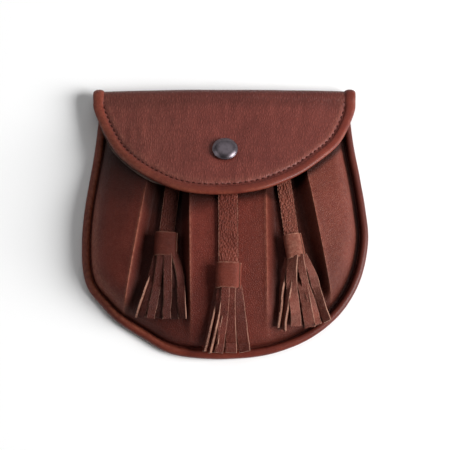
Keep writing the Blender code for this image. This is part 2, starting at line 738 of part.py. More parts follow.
def make_tassel(side, material):
    """A wrapped head with the strips of its fringe fused to it."""
    width = TASSELS[side]["width"] * HEAD_WIDTH
    upper, lower, along = tassel_axis(side)
    share = np.array([0, 0.06, 0.5, 0.94, 1])  # rings along the head, the end ones drawn in
    xy = upper + share[:, None] * (lower - upper)
    sides = level_sides(np.column_stack([xy, np.zeros(len(xy))]))
    ground = highest_under(lying_height, xy, sides, width) + LYING_CLEAR
    ground = ground[0] + share * (ground[-1] - ground[0]) + max(0, ground[2] - ground[[0, -1]].mean())
    fullness = np.array([0.88, 1, 0.98, 1, 0.90])[:, None, None]
    angle = (np.arange(12) + 0.5) * math.pi / 6
    flat = np.sign(np.cos(angle)) * abs(np.cos(angle)) ** 0.7 * width / 2
    tall = np.sign(np.sin(angle)) * abs(np.sin(angle)) ** 0.8 * HEAD_THICKNESS / 2
    centre = np.column_stack([xy, ground + HEAD_THICKNESS / 2])[:, None]
    up = np.array([0, 0, 1])
    rings = centre + fullness * (flat[None, :, None] * sides[:, None] + tall[None, :, None] * up)
    obj = swept("tassel_" + side, rings[:, ::-1], material)
    strips = STRIPS[side]
    for i in range(len(strips["root"])):
        row = {name: column[i] for name, column in strips.items()}
        layer = (i % 2) * STRIP_OVERLAP * STRIP_LEATHER
        path = strip_path(side, row, ground[-1] + STRIP_LEVEL * HEAD_THICKNESS + layer)
        rings = ribbon_rings(path, row["width"] * STRIP_WIDTH, STRIP_LEATHER)
        strip = swept("strip_%s_%d" % (side, i), rings, material)
        strip.hide_render = True
        strip.display_type = "WIRE"
        fuse = obj.modifiers.new(strip.name, "BOOLEAN")
        fuse.operation = "UNION"
        fuse.object = strip
    return obj


def strip_path(side, row, root_height):
    """A strip leaves the head's lower end, fans out and comes to lie on the front panel."""
    _, lower, along = tassel_axis(side)
    across = np.array([-along[1], along[0]])
    aside = row["root"] * TASSELS[side]["width"] * HEAD_WIDTH
    root = lower - STRIP_ROOT * HEAD_LENGTH * along + aside * across
    tip = lower + FRINGE_LENGTH * np.array([row["across"], -row["down"]])
    share = np.linspace(0, 1, 8)
    xy = root + np.stack([share**1.25, share], axis=1) * (tip - root)
    sides = level_sides(np.column_stack([xy, np.zeros(len(xy))]))
    ground = highest_under(lying_height, xy, sides, row["width"] * STRIP_WIDTH) + LYING_CLEAR
    hang = root_height + (ground[-1] - root_height) * smooth_step(share * 1.1)
    return np.column_stack([xy, np.maximum(ground, hang)])


def make_belt_loop(side, sign, material):
    """A plain strip sewn to the back at both ends, with room for a belt behind it."""
    centre_y = TOP - LOOP_DROP
    x = sign * LOOP_SPREAD / 2
    half = LOOP_LENGTH / 2
    foot = half - LOOP_FOOT
    flat = foot - LOOP_SLOPE
    y = centre_y + np.array([half, foot, flat, 0, -flat, -foot, -half])
    sewn = np.array([1, 1, 0, 0, 0, 1, 1])
    edges = x + np.linspace(-0.5, 0.5, 5)[:, None] * LOOP_WIDTH
    under = back_height(edges + 0 * y, y + 0 * edges).min(0) - SEAM_GAP - LEATHER
    z = np.where(sewn > 0, under, 0)
    corner = np.array([-0.5, 0.5, 0.5, -0.5]) * LOOP_WIDTH
    lift = np.array([0, 0, 1, 1]) * LEATHER
    rings = np.stack([
        x + corner + 0 * y[:, None],
        y[:, None] + 0 * corner,
        z[:, None] + lift,
    ], axis=2)
    return swept("belt_loop_" + side, rings[::-1, ::-1], material)


def main():
    clear_scene()
    body = principled("body_leather", BODY_BROWN, 0.5)
    straps = principled("tassel_leather", TASSEL_BROWN, 0.6)
    edges = principled("edge_leather", EDGE_BROWN, 0.45)
    metal = principled("antique_nickel", NICKEL, 0.35, 1.0)
    make_back_panel(body)
    make_front_panel(body)
    make_piping(edges)
    make_flap(body)
    make_flap_binding(edges)
    make_snap(metal)
    for side in TASSELS:
        make_strap(side, straps)
        make_tassel(side, straps)
    for side, sign in (("left", -1), ("right", 1)):
        make_belt_loop(side, sign, body)


main()
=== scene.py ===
# %% [markdown]
# A leather day sporran lies on its back: a pouch with a half-moon flap, a domed snap and three
# tassels on straps. The solids that carry it are loaded first and never move. Every piece below is
# a surface worked out with numpy over the same plan outline as the solids, with the folds, stitches
# and grain that a solid for collisions leaves out.

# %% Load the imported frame
import math

import bpy
import numpy as np
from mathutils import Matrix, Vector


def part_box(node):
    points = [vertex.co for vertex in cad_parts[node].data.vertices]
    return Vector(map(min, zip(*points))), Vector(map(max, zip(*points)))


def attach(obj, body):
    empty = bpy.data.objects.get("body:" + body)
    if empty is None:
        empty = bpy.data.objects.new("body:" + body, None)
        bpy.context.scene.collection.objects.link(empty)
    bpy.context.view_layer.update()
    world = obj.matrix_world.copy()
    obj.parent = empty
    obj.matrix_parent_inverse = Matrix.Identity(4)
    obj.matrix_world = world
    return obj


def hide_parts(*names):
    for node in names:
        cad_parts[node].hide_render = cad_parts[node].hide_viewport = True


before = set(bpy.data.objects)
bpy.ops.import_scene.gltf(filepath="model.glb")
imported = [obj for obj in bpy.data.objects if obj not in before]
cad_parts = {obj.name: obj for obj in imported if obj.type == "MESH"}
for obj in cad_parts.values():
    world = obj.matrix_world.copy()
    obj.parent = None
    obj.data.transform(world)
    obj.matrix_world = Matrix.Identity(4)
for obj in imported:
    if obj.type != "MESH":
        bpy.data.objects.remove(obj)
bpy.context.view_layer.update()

# %% [markdown]
# The camera stands nearly over the pouch, as the photographer did, and a long lens keeps the
# outline free of perspective. It could be placed by hand in the viewport. Working it out from a
# tilt, a distance and a lens means that the view can be checked and repeated.

# %% Camera
TILT = math.radians(75)
DISTANCE = 1.4
LENS = 178.8
LOOK_AT = np.array([0.0, -0.0026, 0.010])


def add_camera():
    """A camera on a circle about the pouch: TILT above the floor, looking along +Y and down."""
    camera = bpy.data.objects.new("camera", bpy.data.cameras.new("camera"))
    bpy.context.scene.collection.objects.link(camera)
    away = np.array([0, -math.cos(TILT), math.sin(TILT)])
    camera.location = LOOK_AT + DISTANCE * away
    camera.rotation_euler = (math.pi / 2 - TILT, 0, 0)
    camera.data.lens = LENS
    camera.data.clip_start = 0.01
    return camera


bpy.context.scene.camera = add_camera()
print("camera at", tuple(round(v, 4) for v in bpy.context.scene.camera.location))

# %% [markdown]
# The outline and the sections come from a few points each. Blender's own curves could hold them,
# but a surface needs to be asked for its height at any place, so the curves are formulas here: a
# monotone cubic for tables of heights, and a Catmull-Rom curve for outlines.

# %% Curves through a few points


def table(columns, rows):
    """A short table as a dictionary of named columns."""
    return dict(zip(columns.split(), np.array(rows, float).T))


def smooth_step(t):
    """The cubic 3t^2 - 2t^3 between 0 and 1, level outside."""
    t = np.clip(t, 0, 1)
    return t * t * (3 - 2 * t)


def bump(distance, width):
    """A bell curve: 1 at distance 0, exp(-1/2) at one width."""
    return np.exp(-0.5 * (distance / width) ** 2)


def smooth_through(knots, values, at):
    """Monotone cubic through a table's column: harmonic mean slopes, level at both ends."""
    step = np.diff(knots)
    slope = np.diff(values) / step
    both = slope[:-1] + slope[1:]
    product = slope[:-1] * slope[1:]
    inner = np.where(product > 0, 2 * product / np.where(both == 0, 1, both), 0)
    tangent = np.concatenate([[0], inner, [0]])
    at = np.clip(at, knots[0], knots[-1])
    i = np.clip(np.searchsorted(knots, at, side="right") - 1, 0, len(step) - 1)
    t = (at - knots[i]) / step[i]
    rise = values[i + 1] - values[i]
    start = tangent[i] * step[i]
    end = tangent[i + 1] * step[i]
    return values[i] + start * t + (3 * rise - 2 * start - end) * t**2 + (start + end - 2 * rise) * t**3


def outline_through(points, per_span=12):
    """Centripetal Catmull-Rom: between two points, three blends of straight lines."""
    p = np.concatenate([[2 * points[0] - points[1]], points, [2 * points[-1] - points[-2]]])
    knot = np.concatenate([[0], np.cumsum(np.linalg.norm(np.diff(p, axis=0), axis=1) ** 0.5)])
    curve = []
    for i in range(1, len(p) - 2):
        t = np.linspace(knot[i], knot[i + 1], per_span, endpoint=False)[:, None]
        k = knot[i - 1 : i + 3]
        a1 = ((k[1] - t) * p[i - 1] + (t - k[0]) * p[i]) / (k[1] - k[0])
        a2 = ((k[2] - t) * p[i] + (t - k[1]) * p[i + 1]) / (k[2] - k[1])
        a3 = ((k[3] - t) * p[i + 1] + (t - k[2]) * p[i + 2]) / (k[3] - k[2])
        b1 = ((k[2] - t) * a1 + (t - k[0]) * a2) / (k[2] - k[0])
        b2 = ((k[3] - t) * a2 + (t - k[1]) * a3) / (k[3] - k[1])
        curve.append(((k[2] - t) * b1 + (t - k[1]) * b2) / (k[2] - k[1]))
    return np.concatenate([*curve, [points[-1]]])


def lengths_along(line):
    """Running length of a polyline at each of its points."""
    return np.concatenate([[0], np.cumsum(np.linalg.norm(np.diff(line, axis=0), axis=1))])


def spaced(line, shares):
    """Points of a polyline at the given shares of its length."""
    run = lengths_along(line)
    at = np.asarray(shares) * run[-1]
    return np.stack([np.interp(at, run, line[:, axis]) for axis in range(line.shape[1])], axis=1)


def unit(vectors):
    """Vectors scaled to length 1."""
    return vectors / np.linalg.norm(vectors, axis=-1, keepdims=True)


def level_sides(path):
    """Unit vectors level and square to a path, pointing to its left seen from above."""
    along = np.gradient(path, axis=0)
    return unit(np.stack([-along[:, 1], along[:, 0], np.zeros(len(path))], axis=1))


def moved_in(line, distance):
    """A plan curve that runs left to right round the bottom, moved in toward the middle."""
    return line + distance * level_sides(line)[:, :2]


def lifted(plan, height):
    """Plan points with a height, the same for all or one for each."""
    return np.column_stack([plan, np.broadcast_to(height, len(plan))])


def to_nearest_end(run):
    """Length along a path to whichever end is nearer."""
    return np.minimum(run, run[-1] - run)


def distance_to(line, x, y, at_once=4000):
    """Plan distance from points to a polyline: the least distance to any of its straight pieces."""
    start = line[None, :-1]
    run = line[None, 1:] - start
    points = np.stack([np.ravel(x), np.ravel(y)], axis=1)[:, None]
    found = []
    for p in np.array_split(points, 1 + len(points) // at_once):
        share = np.clip(((p - start) * run).sum(2) / (run * run).sum(2), 0, 1)
        found.append(np.linalg.norm(p - start - share[..., None] * run, axis=2).min(1))
    return np.concatenate(found).reshape(np.shape(x))


# %% [markdown]
# The pouch's form is a height over the plan. The piping's outline gives the plan, and tables give
# how high the belly stands along and across it. Two valleys run down the front where the leather is
# pleated, and a strap lies in each. Modelling this by pushing vertices would be quick once, but the
# flap, the straps and the tassels have to lie on it, so it is a function that they can all ask.

# %% Sizes in metres, and the tables of the form
BODY_WIDTH = 0.180
POUCH_LENGTH = 0.166
BELLY_DEPTH = 0.0285
LEATHER = 0.0018
SEAM_GAP = 0.0003
PIPING_DIAMETER = 0.0054
SIDE_ROLL = 0.012
BACK_BOW = 0.0064
BACK_ROLL = 0.014
MOUTH_DROP = 0.0075
HALF = BODY_WIDTH / 2
LEFT, RIGHT = -1, 1
SEAM_HEIGHT = PIPING_DIAMETER / 2
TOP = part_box("back_panel")[1].y
BOTTOM = TOP - POUCH_LENGTH

RIM = table("across up", [
    (-0.882, 1.030),
    (-0.914, 0.832),
    (-0.949, 0.705),
    (-0.984, 0.578),
    (-1.000, 0.452),
    (-0.985, 0.325),
    (-0.944, 0.262),
    (-0.856, 0.203),
    (-0.750, 0.143),
    (-0.574, 0.080),
    (-0.385, 0.022),
    (-0.100, 0.000),
    (0.180, 0.006),
    (0.370, 0.027),
    (0.600, 0.081),
    (0.800, 0.173),
    (0.936, 0.296),
    (1.000, 0.452),
    (0.985, 0.578),
    (0.950, 0.705),
    (0.909, 0.832),
    (0.872, 1.030),
])

SECTIONS = table("up height pleat bow roll", [
    (0.00, 0.34, 0.00, 0.50, 2.10),
    (0.07, 0.48, 0.03, 0.80, 2.00),
    (0.15, 0.66, 0.12, 1.00, 1.70),
    (0.24, 0.83, 0.25, 1.00, 1.25),
    (0.36, 0.97, 0.37, 1.00, 1.00),
    (0.48, 1.00, 0.41, 1.00, 1.00),
    (0.58, 0.95, 0.38, 1.00, 1.00),
    (0.69, 0.81, 0.31, 1.00, 1.00),
    (0.78, 0.66, 0.20, 0.85, 1.00),
    (0.87, 0.49, 0.09, 0.36, 1.00),
    (0.96, 0.34, 0.02, 0.30, 1.00),
    (1.00, 0.30, 0.02, 0.30, 1.00),
])

CROSS = table("out height", [
    (0.00, 1.00),
    (0.30, 1.00),
    (0.55, 0.94),
    (0.75, 0.72),
    (0.90, 0.50),
    (1.00, 0.38),
    (1.15, 0.26),
])

HEM_UP = 0.627
FOOT_UP = 0.205
PLEATS = table("hem foot sunk columns", [
    (-0.547, -0.685, 0, 18),
    (-0.475, -0.622, 1, 20),
    (-0.311, -0.300, 1, 18),
    (-0.246, -0.238, 0, 62),
    (0.281, 0.288, 0, 18),
    (0.345, 0.372, 1, 20),
    (0.505, 0.668, 1, 18),
    (0.590, 0.737, 0, 0),
])

RIM_LINE = outline_through(np.stack([RIM["across"] * HALF, BOTTOM + RIM["up"] * POUCH_LENGTH], axis=1))
SEAM_LINE = moved_in(RIM_LINE, PIPING_DIAMETER + SEAM_GAP)
print("piping runs", round(1000 * lengths_along(RIM_LINE)[-1]), "mm round the pouch")

# %% Heights of the front and the back


def section(column, y):
    """A column of SECTIONS, read at a height up the pouch."""
    return smooth_through(SECTIONS["up"], SECTIONS[column], (y - BOTTOM) / POUCH_LENGTH)


def pleat_line(hem, foot, y):
    """Place across of a pleat line: straight from its hem share to its foot share, and on."""
    down = (HEM_UP - (y - BOTTOM) / POUCH_LENGTH) / (HEM_UP - FOOT_UP)
    return HALF * (hem + (foot - hem) * down)


def belly(x, y):
    """Envelope of the raised panels: belly depth x height along x height across."""
    across = smooth_through(CROSS["out"], CROSS["height"], abs(x) / HALF)
    return BELLY_DEPTH * section("height", y) * across


def fold_wall(t):
    """From a ridge (0) down to a valley (1): part parabola 1 - (1 - t)^2, part smooth step."""
    t = np.clip(t, 0, 1)
    return 0.6 * (1 - (1 - t) ** 2) + 0.4 * smooth_step(t)


def sunk(x, y):
    """1 on a valley's floor and 0 on a raised panel, with a crisp ridge and a soft foot."""
    depth = np.zeros(np.shape(x))
    for i in range(len(PLEATS["hem"]) - 1):
        left = pleat_line(PLEATS["hem"][i], PLEATS["foot"][i], y)
        right = pleat_line(PLEATS["hem"][i + 1], PLEATS["foot"][i + 1], y)
        share = (x - left) / (right - left)
        change = PLEATS["sunk"][i + 1] - PLEATS["sunk"][i]
        wall = fold_wall(share) if change > 0 else 1 - fold_wall(1 - share)
        depth = depth + change * wall
    return depth


LATTICE = 64


def cloud(x, y, size, seed):
    """Smooth random field from -1 to 1: random values on a lattice, blended by smooth steps."""
    lattice = np.random.default_rng(seed).uniform(-1, 1, (LATTICE, LATTICE))
    u, v = x / size + LATTICE / 2, y / size + LATTICE / 2
    i, j = np.floor(u).astype(int), np.floor(v).astype(int)
    s, t = smooth_step(u - i), smooth_step(v - j)
    low, high = (
        lattice[i % LATTICE, row % LATTICE] * (1 - s) + lattice[(i + 1) % LATTICE, row % LATTICE] * s
        for row in (j, j + 1)
    )
    return low * (1 - t) + high * t


def cloud_along(run, size, seed):
    """The same field, read along a single line."""
    return cloud(run, 0 * run, size, seed)


def toward(side, x, gain=1.0, start=0.0):
    """0 in the middle, rising to 1 toward the left or the right edge of the pouch."""
    return smooth_step(side * x / HALF * gain - start)


FULL_PLEAT = 0.25
RIDGE_LIP = 0.00035
RIDGE_WIDTH = 0.0012
SLACK = 0.00045
PUCKER_DEPTH = 0.00012
BACK_SLACK = 0.0003
FULL_ROLL = 2.7
GROOVE = 0.0005
GROOVE_GAPE = 0.0019
GAPE_FROM = 0.45
GAPE_OVER = 0.35


def pleated(y):
    """1 where the pleats are deep, falling to 0 where they run out."""
    return np.clip(section("pleat", y) / FULL_PLEAT, 0, 1)


def ridge_mask(x, y, width):
    """Bell curves along the four folded ridges of the pleats, as deep as the pleats there."""
    mask = np.zeros(np.shape(x))
    for i in np.flatnonzero(PLEATS["sunk"] == 0):
        line = pleat_line(PLEATS["hem"][i], PLEATS["foot"][i], y)
        mask = np.maximum(mask, bump(x - line, width))
    return mask * pleated(y)


def seam_groove(x):
    """Plan width of the deep crease beside the piping, wider on the right, where the seam gapes."""
    return GROOVE + GROOVE_GAPE * smooth_step((x / HALF - GAPE_FROM) / GAPE_OVER)


def front_height(x, y):
    """Outer face of the front: the belly less the pleats, rolled up from the seam, with relief."""
    groove = seam_groove(x)
    roll = SIDE_ROLL * section("roll", y)
    inside = distance_to(SEAM_LINE, x, y)
    in_share = np.clip((inside - groove) / (roll - groove), 0, 1)
    rise = (1 - (1 - in_share) ** FULL_ROLL) ** (1 / FULL_ROLL)
    panel = belly(x, y) - BELLY_DEPTH * section("pleat", y) * sunk(x, y)
    lips = RIDGE_LIP * ridge_mask(x, y, RIDGE_WIDTH)
    waves = SLACK * (0.7 * cloud(x, y, 0.024, 3) + 0.3 * cloud(x, y, 0.009, 4))
    puckers = PUCKER_DEPTH * cloud(x, y, 0.0035, 5) * bump(inside, 0.005)
    return SEAM_HEIGHT + SEAM_GAP / 2 + rise * (panel + lips + waves) + puckers * in_share


def back_height(x, y):
    """Lower face of the back: level under the seam, then bowed in by a quarter sine."""
    inside = distance_to(SEAM_LINE, x, y) - 2 * LEATHER
    in_share = np.clip(inside / BACK_ROLL, 0, 1)
    bow = BACK_BOW * section("bow", y) * np.sin(in_share * math.pi / 2)
    waves = BACK_SLACK * cloud(x, y, 0.02, 8) * in_share
    return SEAM_HEIGHT - SEAM_GAP / 2 - LEATHER + bow + waves


def lying_height(x, y):
    """What a strap lies on: the front, or the piping beyond the seam."""
    on_piping = distance_to(RIM_LINE, x, y) < PIPING_DIAMETER + 2 * SEAM_GAP
    return np.maximum(front_height(x, y), np.where(on_piping, PIPING_DIAMETER, 0))


middle = front_height(np.zeros(1), np.zeros(1))[0]
print("front stands", round(1000 * middle, 1), "mm high at its middle")

# %% [markdown]
# Each surface is a grid of points, and a wall of leather is two such grids joined along their edge.
# A ribbon, a cord and a bead are one section carried along a path. Python could add the vertices one
# by one, but whole arrays handed over with foreach_set are far faster and hold one formula each.

# %% Meshes from arrays


def round_angles(count):
    """Evenly spaced angles once round a section, from 0."""
    return np.arange(count) * 2 * math.pi / count


def grid_quads(rows, columns, around=False):
    """Quads of a grid of points, facing +Z where rows run toward -Y and columns toward +X."""
    i, j = np.meshgrid(np.arange(rows - 1), np.arange(columns - (not around)), indexing="ij")
    k = (j + 1) % columns
    first, second = i * columns, (i + 1) * columns
    return np.stack([first + j, second + j, second + k, first + k], axis=-1).reshape(-1, 4)


def signed_volume(points, groups):
    """Volume within the faces, negative when they point inward: sum of tetrahedra from the origin."""
    total = 0.0
    for faces, _ in groups:
        for k in range(2, faces.shape[1]):
            a, b, c = points[faces[:, 0]], points[faces[:, k - 1]], points[faces[:, k]]
            total += (a * np.cross(b, c)).sum() / 6
    return total


def add_mesh(name, points, groups, materials, uv=None, marks=None, crease=50):
    """A mesh from points and groups of (faces, material number), with its faces turned outward."""
    points = np.asarray(points, float).reshape(-1, 3)
    if signed_volume(points - points.mean(0), groups) < 0:
        groups = [(faces[:, ::-1], number) for faces, number in groups]
    sides = np.concatenate([np.full(len(faces), faces.shape[1]) for faces, _ in groups])
    corners = np.concatenate([faces.ravel() for faces, _ in groups])
    mesh = bpy.data.meshes.new(name)
    mesh.vertices.add(len(points))
    mesh.vertices.foreach_set("co", points.ravel().astype(np.float32))
    mesh.loops.add(len(corners))
    mesh.loops.foreach_set("vertex_index", corners.astype(np.int32))
    mesh.polygons.add(len(sides))
    mesh.polygons.foreach_set("loop_start", (np.cumsum(sides) - sides).astype(np.int32))
    numbers = np.concatenate([np.full(len(faces), number) for faces, number in groups])
    mesh.polygons.foreach_set("material_index", numbers.astype(np.int32))
    for material in materials:
        mesh.materials.append(material)
    if uv is not None:
        layer = mesh.uv_layers.new(name="along_across")
        layer.data.foreach_set("uv", np.asarray(uv, np.float32).reshape(-1, 2)[corners].ravel())
    for mark, values in (marks or {}).items():
        attribute = mesh.attributes.new(mark, "FLOAT", "POINT")
        attribute.data.foreach_set("value", np.asarray(values, np.float32).ravel())
    mesh.update(calc_edges=True)
    mesh.shade_smooth()
    mesh.set_sharp_from_angle(angle=math.radians(crease))
    piece = bpy.data.objects.new(name, mesh)
    bpy.context.scene.collection.objects.link(piece)
    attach(piece, "root")
    return piece


def shown(piece, slot, *nodes):
    """Hides the solids that a piece stands for, and prints what was made; the finish it is given is not used.
    """
    if nodes:
        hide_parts(*nodes)
    size = [round(1000 * side, 1) for side in piece.dimensions]
    print(piece.name, len(piece.data.polygons), "faces,", size, "mm")


def normals_of(grid):
    """Unit normals of a grid: cross product of its slopes along rows and columns."""
    return unit(np.cross(np.gradient(grid, axis=0), np.gradient(grid, axis=1)))


def add_wall(name, outer, inner, materials, marks=None):
    """A closed wall between two grids: materials are for outer face, inner face and cut edge."""
    rows, columns, _ = outer.shape
    count = rows * columns
    faces = grid_quads(rows, columns)
    index = np.arange(count).reshape(rows, columns)
    edge = np.concatenate([index[0, :-1], index[:-1, -1], index[-1, :0:-1], index[:0:-1, 0]])
    after = np.roll(edge, -1)
    rim = np.stack([edge, after, after + count, edge + count], axis=1)
    groups = [(faces, 0), (faces[:, ::-1] + count, 1), (rim, 2)]
    points = np.concatenate([outer.reshape(-1, 3), inner.reshape(-1, 3)])
    doubled = {mark: np.concatenate([values.ravel()] * 2) for mark, values in (marks or {}).items()}
    return add_mesh(name, points, groups, materials, marks=doubled)


def ring_groups(count, sides, numbers):
    """Faces of rings of points with a fan at both ends; numbers gives each side's material."""
    quads = grid_quads(count, sides, around=True).reshape(count - 1, sides, 4)
    groups = [(quads[:, numbers == number].reshape(-1, 4), number) for number in np.unique(numbers)]
    j = np.arange(sides)
    k = (j + 1) % sides
    last = (count - 1) * sides
    start = np.stack([0 * j + count * sides, j, k], axis=1)
    end = np.stack([0 * j + count * sides + 1, last + k, last + j], axis=1)
    return groups, np.concatenate([start, end])


def add_tube(name, rings, materials, numbers=None, end_number=0, uv=None, marks=None, crease=50):
    """A closed body through rings of points, such as a cord, a bead or a ribbon."""
    count, sides, _ = rings.shape
    numbers = np.zeros(sides, int) if numbers is None else numbers
    groups, fans = ring_groups(count, sides, numbers)
    points = np.concatenate([rings.reshape(-1, 3), [rings[0].mean(0), rings[-1].mean(0)]])
    ends = {mark: np.append(values.ravel(), [0, 0]) for mark, values in (marks or {}).items()}
    if uv is not None:
        uv = np.concatenate([uv.reshape(-1, 2), [uv[0].mean(0), uv[-1].mean(0)]])
    return add_mesh(name, points, groups + [(fans, end_number)], materials, uv, ends, crease)


# %% [markdown]
# The leather's grain, its uneven dye, its worn edges and its painted highlights show on every piece, each at
# its own scale.
# Each is a shader node group with named inputs, built once, so that a change to the grain reaches
# the flap and the straps alike. The groups give out only colours, masks and heights. The shader
# itself stays in each material.

# %% Nodes from code


def fill_inputs(tree, node, inputs):
    """Inputs of a node set to values, or linked where a socket is given."""
    for name, value in inputs.items():
        if isinstance(value, bpy.types.NodeSocket):
            tree.links.new(value, node.inputs[name])
        else:
            node.inputs[name].default_value = value


def add(tree, kind, inputs=None, **settings):
    """The outputs of a new node with its settings and inputs."""
    made = tree.nodes.new(kind)
    for name, value in settings.items():
        setattr(made, name, value)
    fill_inputs(tree, made, inputs or {})
    return made.outputs


def maths(tree, operation, first, second=0.0):
    return add(tree, "ShaderNodeMath", {0: first, 1: second}, operation=operation)[0]


def mapped(tree, value, low, high, to_low=0.0, to_high=1.0, smooth=True):
    """A value read from one range into another, along a smooth step or a straight line."""
    sizes = {"From Min": low, "From Max": high, "To Min": to_low, "To Max": to_high}
    kind = "SMOOTHSTEP" if smooth else "LINEAR"
    return add(tree, "ShaderNodeMapRange", {"Value": value, **sizes}, interpolation_type=kind)[0]


def mixed(tree, share, first, second):
    return add(tree, "ShaderNodeMix", {0: share, 6: first, 7: second}, data_type="RGBA")[2]


def noise(tree, place_in, scale, detail, output="Fac", **inputs):
    """A noise texture read at a place, with any further inputs by name."""
    inputs = {"Vector": place_in, "Scale": scale, "Detail": detail, **inputs}
    return add(tree, "ShaderNodeTexNoise", inputs)[output]


def raised(tree, height, distance, strength=1.0):
    """A normal bent by a height that stands up by a distance in metres."""
    return add(tree, "ShaderNodeBump", {"Height": height, "Strength": strength, "Distance": distance})[0]


def new_group(name, inputs, outputs):
    """An empty node group. A socket is given as its kind, or as the default of a float."""
    group = bpy.data.node_groups.new(name, "ShaderNodeTree")
    for title, default in inputs.items():
        kind = default if isinstance(default, str) else "Float"
        socket = group.interface.new_socket(title, in_out="INPUT", socket_type="NodeSocket" + kind)
        if kind == "Float":
            socket.default_value = default
    for title, kind in outputs.items():
        group.interface.new_socket(title, in_out="OUTPUT", socket_type="NodeSocket" + kind)
    return group, group.nodes.new("NodeGroupInput").outputs, group.nodes.new("NodeGroupOutput")


def place(tree, group, inputs):
    return add(tree, "ShaderNodeGroup", inputs, node_tree=group)


def shade(colour):
    """A colour written as it looks on screen, 0 to 255, as the linear colour that nodes use."""
    c = np.array(colour) / 255
    linear = np.where(c <= 0.04045, c / 12.92, ((c + 0.055) / 1.055) ** 2.4)
    return (*map(float, linear), 1.0)


# %% Grain: pebbles between fine creases


def grain_group():
    """Pebble height = 0.72 domed cells + 0.22 cells a third the size + 0.06 fine noise."""
    inputs = {"Vector": "Vector", "Pebble": 0.001, "Stretch": 1.0}
    group, given, out = new_group("leather_grain", inputs, {"Height": "Float", "Crease": "Float"})
    per_pebble = maths(group, "DIVIDE", 1.0, given["Pebble"])
    per_length = maths(group, "DIVIDE", per_pebble, given["Stretch"])
    scale = add(group, "ShaderNodeCombineXYZ", {0: per_pebble, 1: per_length, 2: per_length})[0]
    cells = add(group, "ShaderNodeVectorMath", {0: given["Vector"], 1: scale}, operation="MULTIPLY")[0]
    warp = noise(group, cells, 0.8, 1.0, "Color")
    shift = add(group, "ShaderNodeVectorMath", {0: warp, 3: 0.7}, operation="SCALE")[0]
    bent = add(group, "ShaderNodeVectorMath", {0: cells, 1: shift}, operation="ADD")[0]
    edge = {"feature": "DISTANCE_TO_EDGE"}
    large = add(group, "ShaderNodeTexVoronoi", {"Vector": bent, "Scale": 1.0}, **edge)["Distance"]
    small = add(group, "ShaderNodeTexVoronoi", {"Vector": bent, "Scale": 2.9}, **edge)["Distance"]
    height = maths(group, "MULTIPLY", mapped(group, large, 0.0, 0.40), 0.72)
    for part, share in ((mapped(group, small, 0.0, 0.30), 0.22), (noise(group, cells, 5.0, 3.0), 0.06)):
        height = maths(group, "ADD", height, maths(group, "MULTIPLY", part, share))
    fill_inputs(group, out, {"Height": height, "Crease": mapped(group, large, 0.0, 0.14, 1.0, 0.0)})
    return group


GRAIN = grain_group()

# %% Dye: darker and lighter clouds


def dye_group():
    """Colour between a deep and a light dye by two noises, one broad and one blotchy."""
    inputs = {"Vector": "Vector", "Deep": "Color", "Light": "Color", "Cloud": 0.02}
    group, given, out = new_group("uneven_dye", inputs, {"Colour": "Color"})
    per_cloud = maths(group, "DIVIDE", 1.0, given["Cloud"])
    broad = noise(group, given["Vector"], per_cloud, 3.0)
    blotch = noise(group, given["Vector"], maths(group, "MULTIPLY", per_cloud, 6.0), 3.0, Distortion=0.6)
    both = maths(group, "ADD", maths(group, "MULTIPLY", broad, 0.65), maths(group, "MULTIPLY", blotch, 0.35))
    share = mapped(group, both, 0.36, 0.64)
    fill_inputs(group, out, {"Colour": mixed(group, share, given["Deep"], given["Light"])})
    return group


DYE = dye_group()

# %% Wear and painted highlights: a lighter tone on rubbed folds and edges, and on painted highlights


def wear_and_light_group():
    """A mask from the piece, broken up by noise, mixes a lighter tone into the dye: wear, and painted
    highlight and sheen where the piece paints them.
    """
    inputs = {"Vector": "Vector", "Colour": "Color", "RubbedAndLit": "Color", "Mask": 0.0}
    group, given, out = new_group("rubbed_and_lit_tone", inputs, {"Colour": "Color", "Amount": "Float"})
    breaks = mapped(group, noise(group, given["Vector"], 420.0, 4.0), 0.30, 0.68, 0.35, 1.0)
    broken = maths(group, "MULTIPLY", given["Mask"], breaks)
    colour = mixed(group, broken, given["Colour"], given["RubbedAndLit"])
    fill_inputs(group, out, {"Colour": colour, "Amount": broken})
    return group


WEAR_AND_LIGHT = wear_and_light_group()
print("node groups:", [group.name for group in bpy.data.node_groups])

# %% [markdown]
# The outside is a chestnut pull-up leather: saturated where it is dark, paler where light glances
# off its waxed grain. One maker covers the panels, the flap, the cord's cover and the straps, which
# differ in pebble size, in depth and in tone. A texture image would be quicker, but it would blur
# close up and would need seams, while nodes on the object's own coordinates fit every piece.

# %% Grain leather


def new_material(name):
    material = bpy.data.materials.new(name)
    material.use_nodes = True
    tree = material.node_tree
    return material, tree, tree.nodes["Principled BSDF"]


def dyed(tree, place_in, deep, light, cloud_size):
    """Colour of the uneven dye between two tones, with clouds of the given size."""
    inputs = {"Vector": place_in, "Deep": shade(deep), "Light": shade(light), "Cloud": cloud_size}
    return place(tree, DYE, inputs)["Colour"]


# The darkest tone: the colour of the grain's creases, and the colour that painted shade mixes toward.
CREASE_AND_SHADE_TONE = (0.021, 0.0032, 0.0014, 1.0)
DYE_CLOUD = 0.02
TOPS_RUBBED_AND_LIT = 0.12
DARK_CREASES = 0.24
WORN_SMOOTHER = 0.08


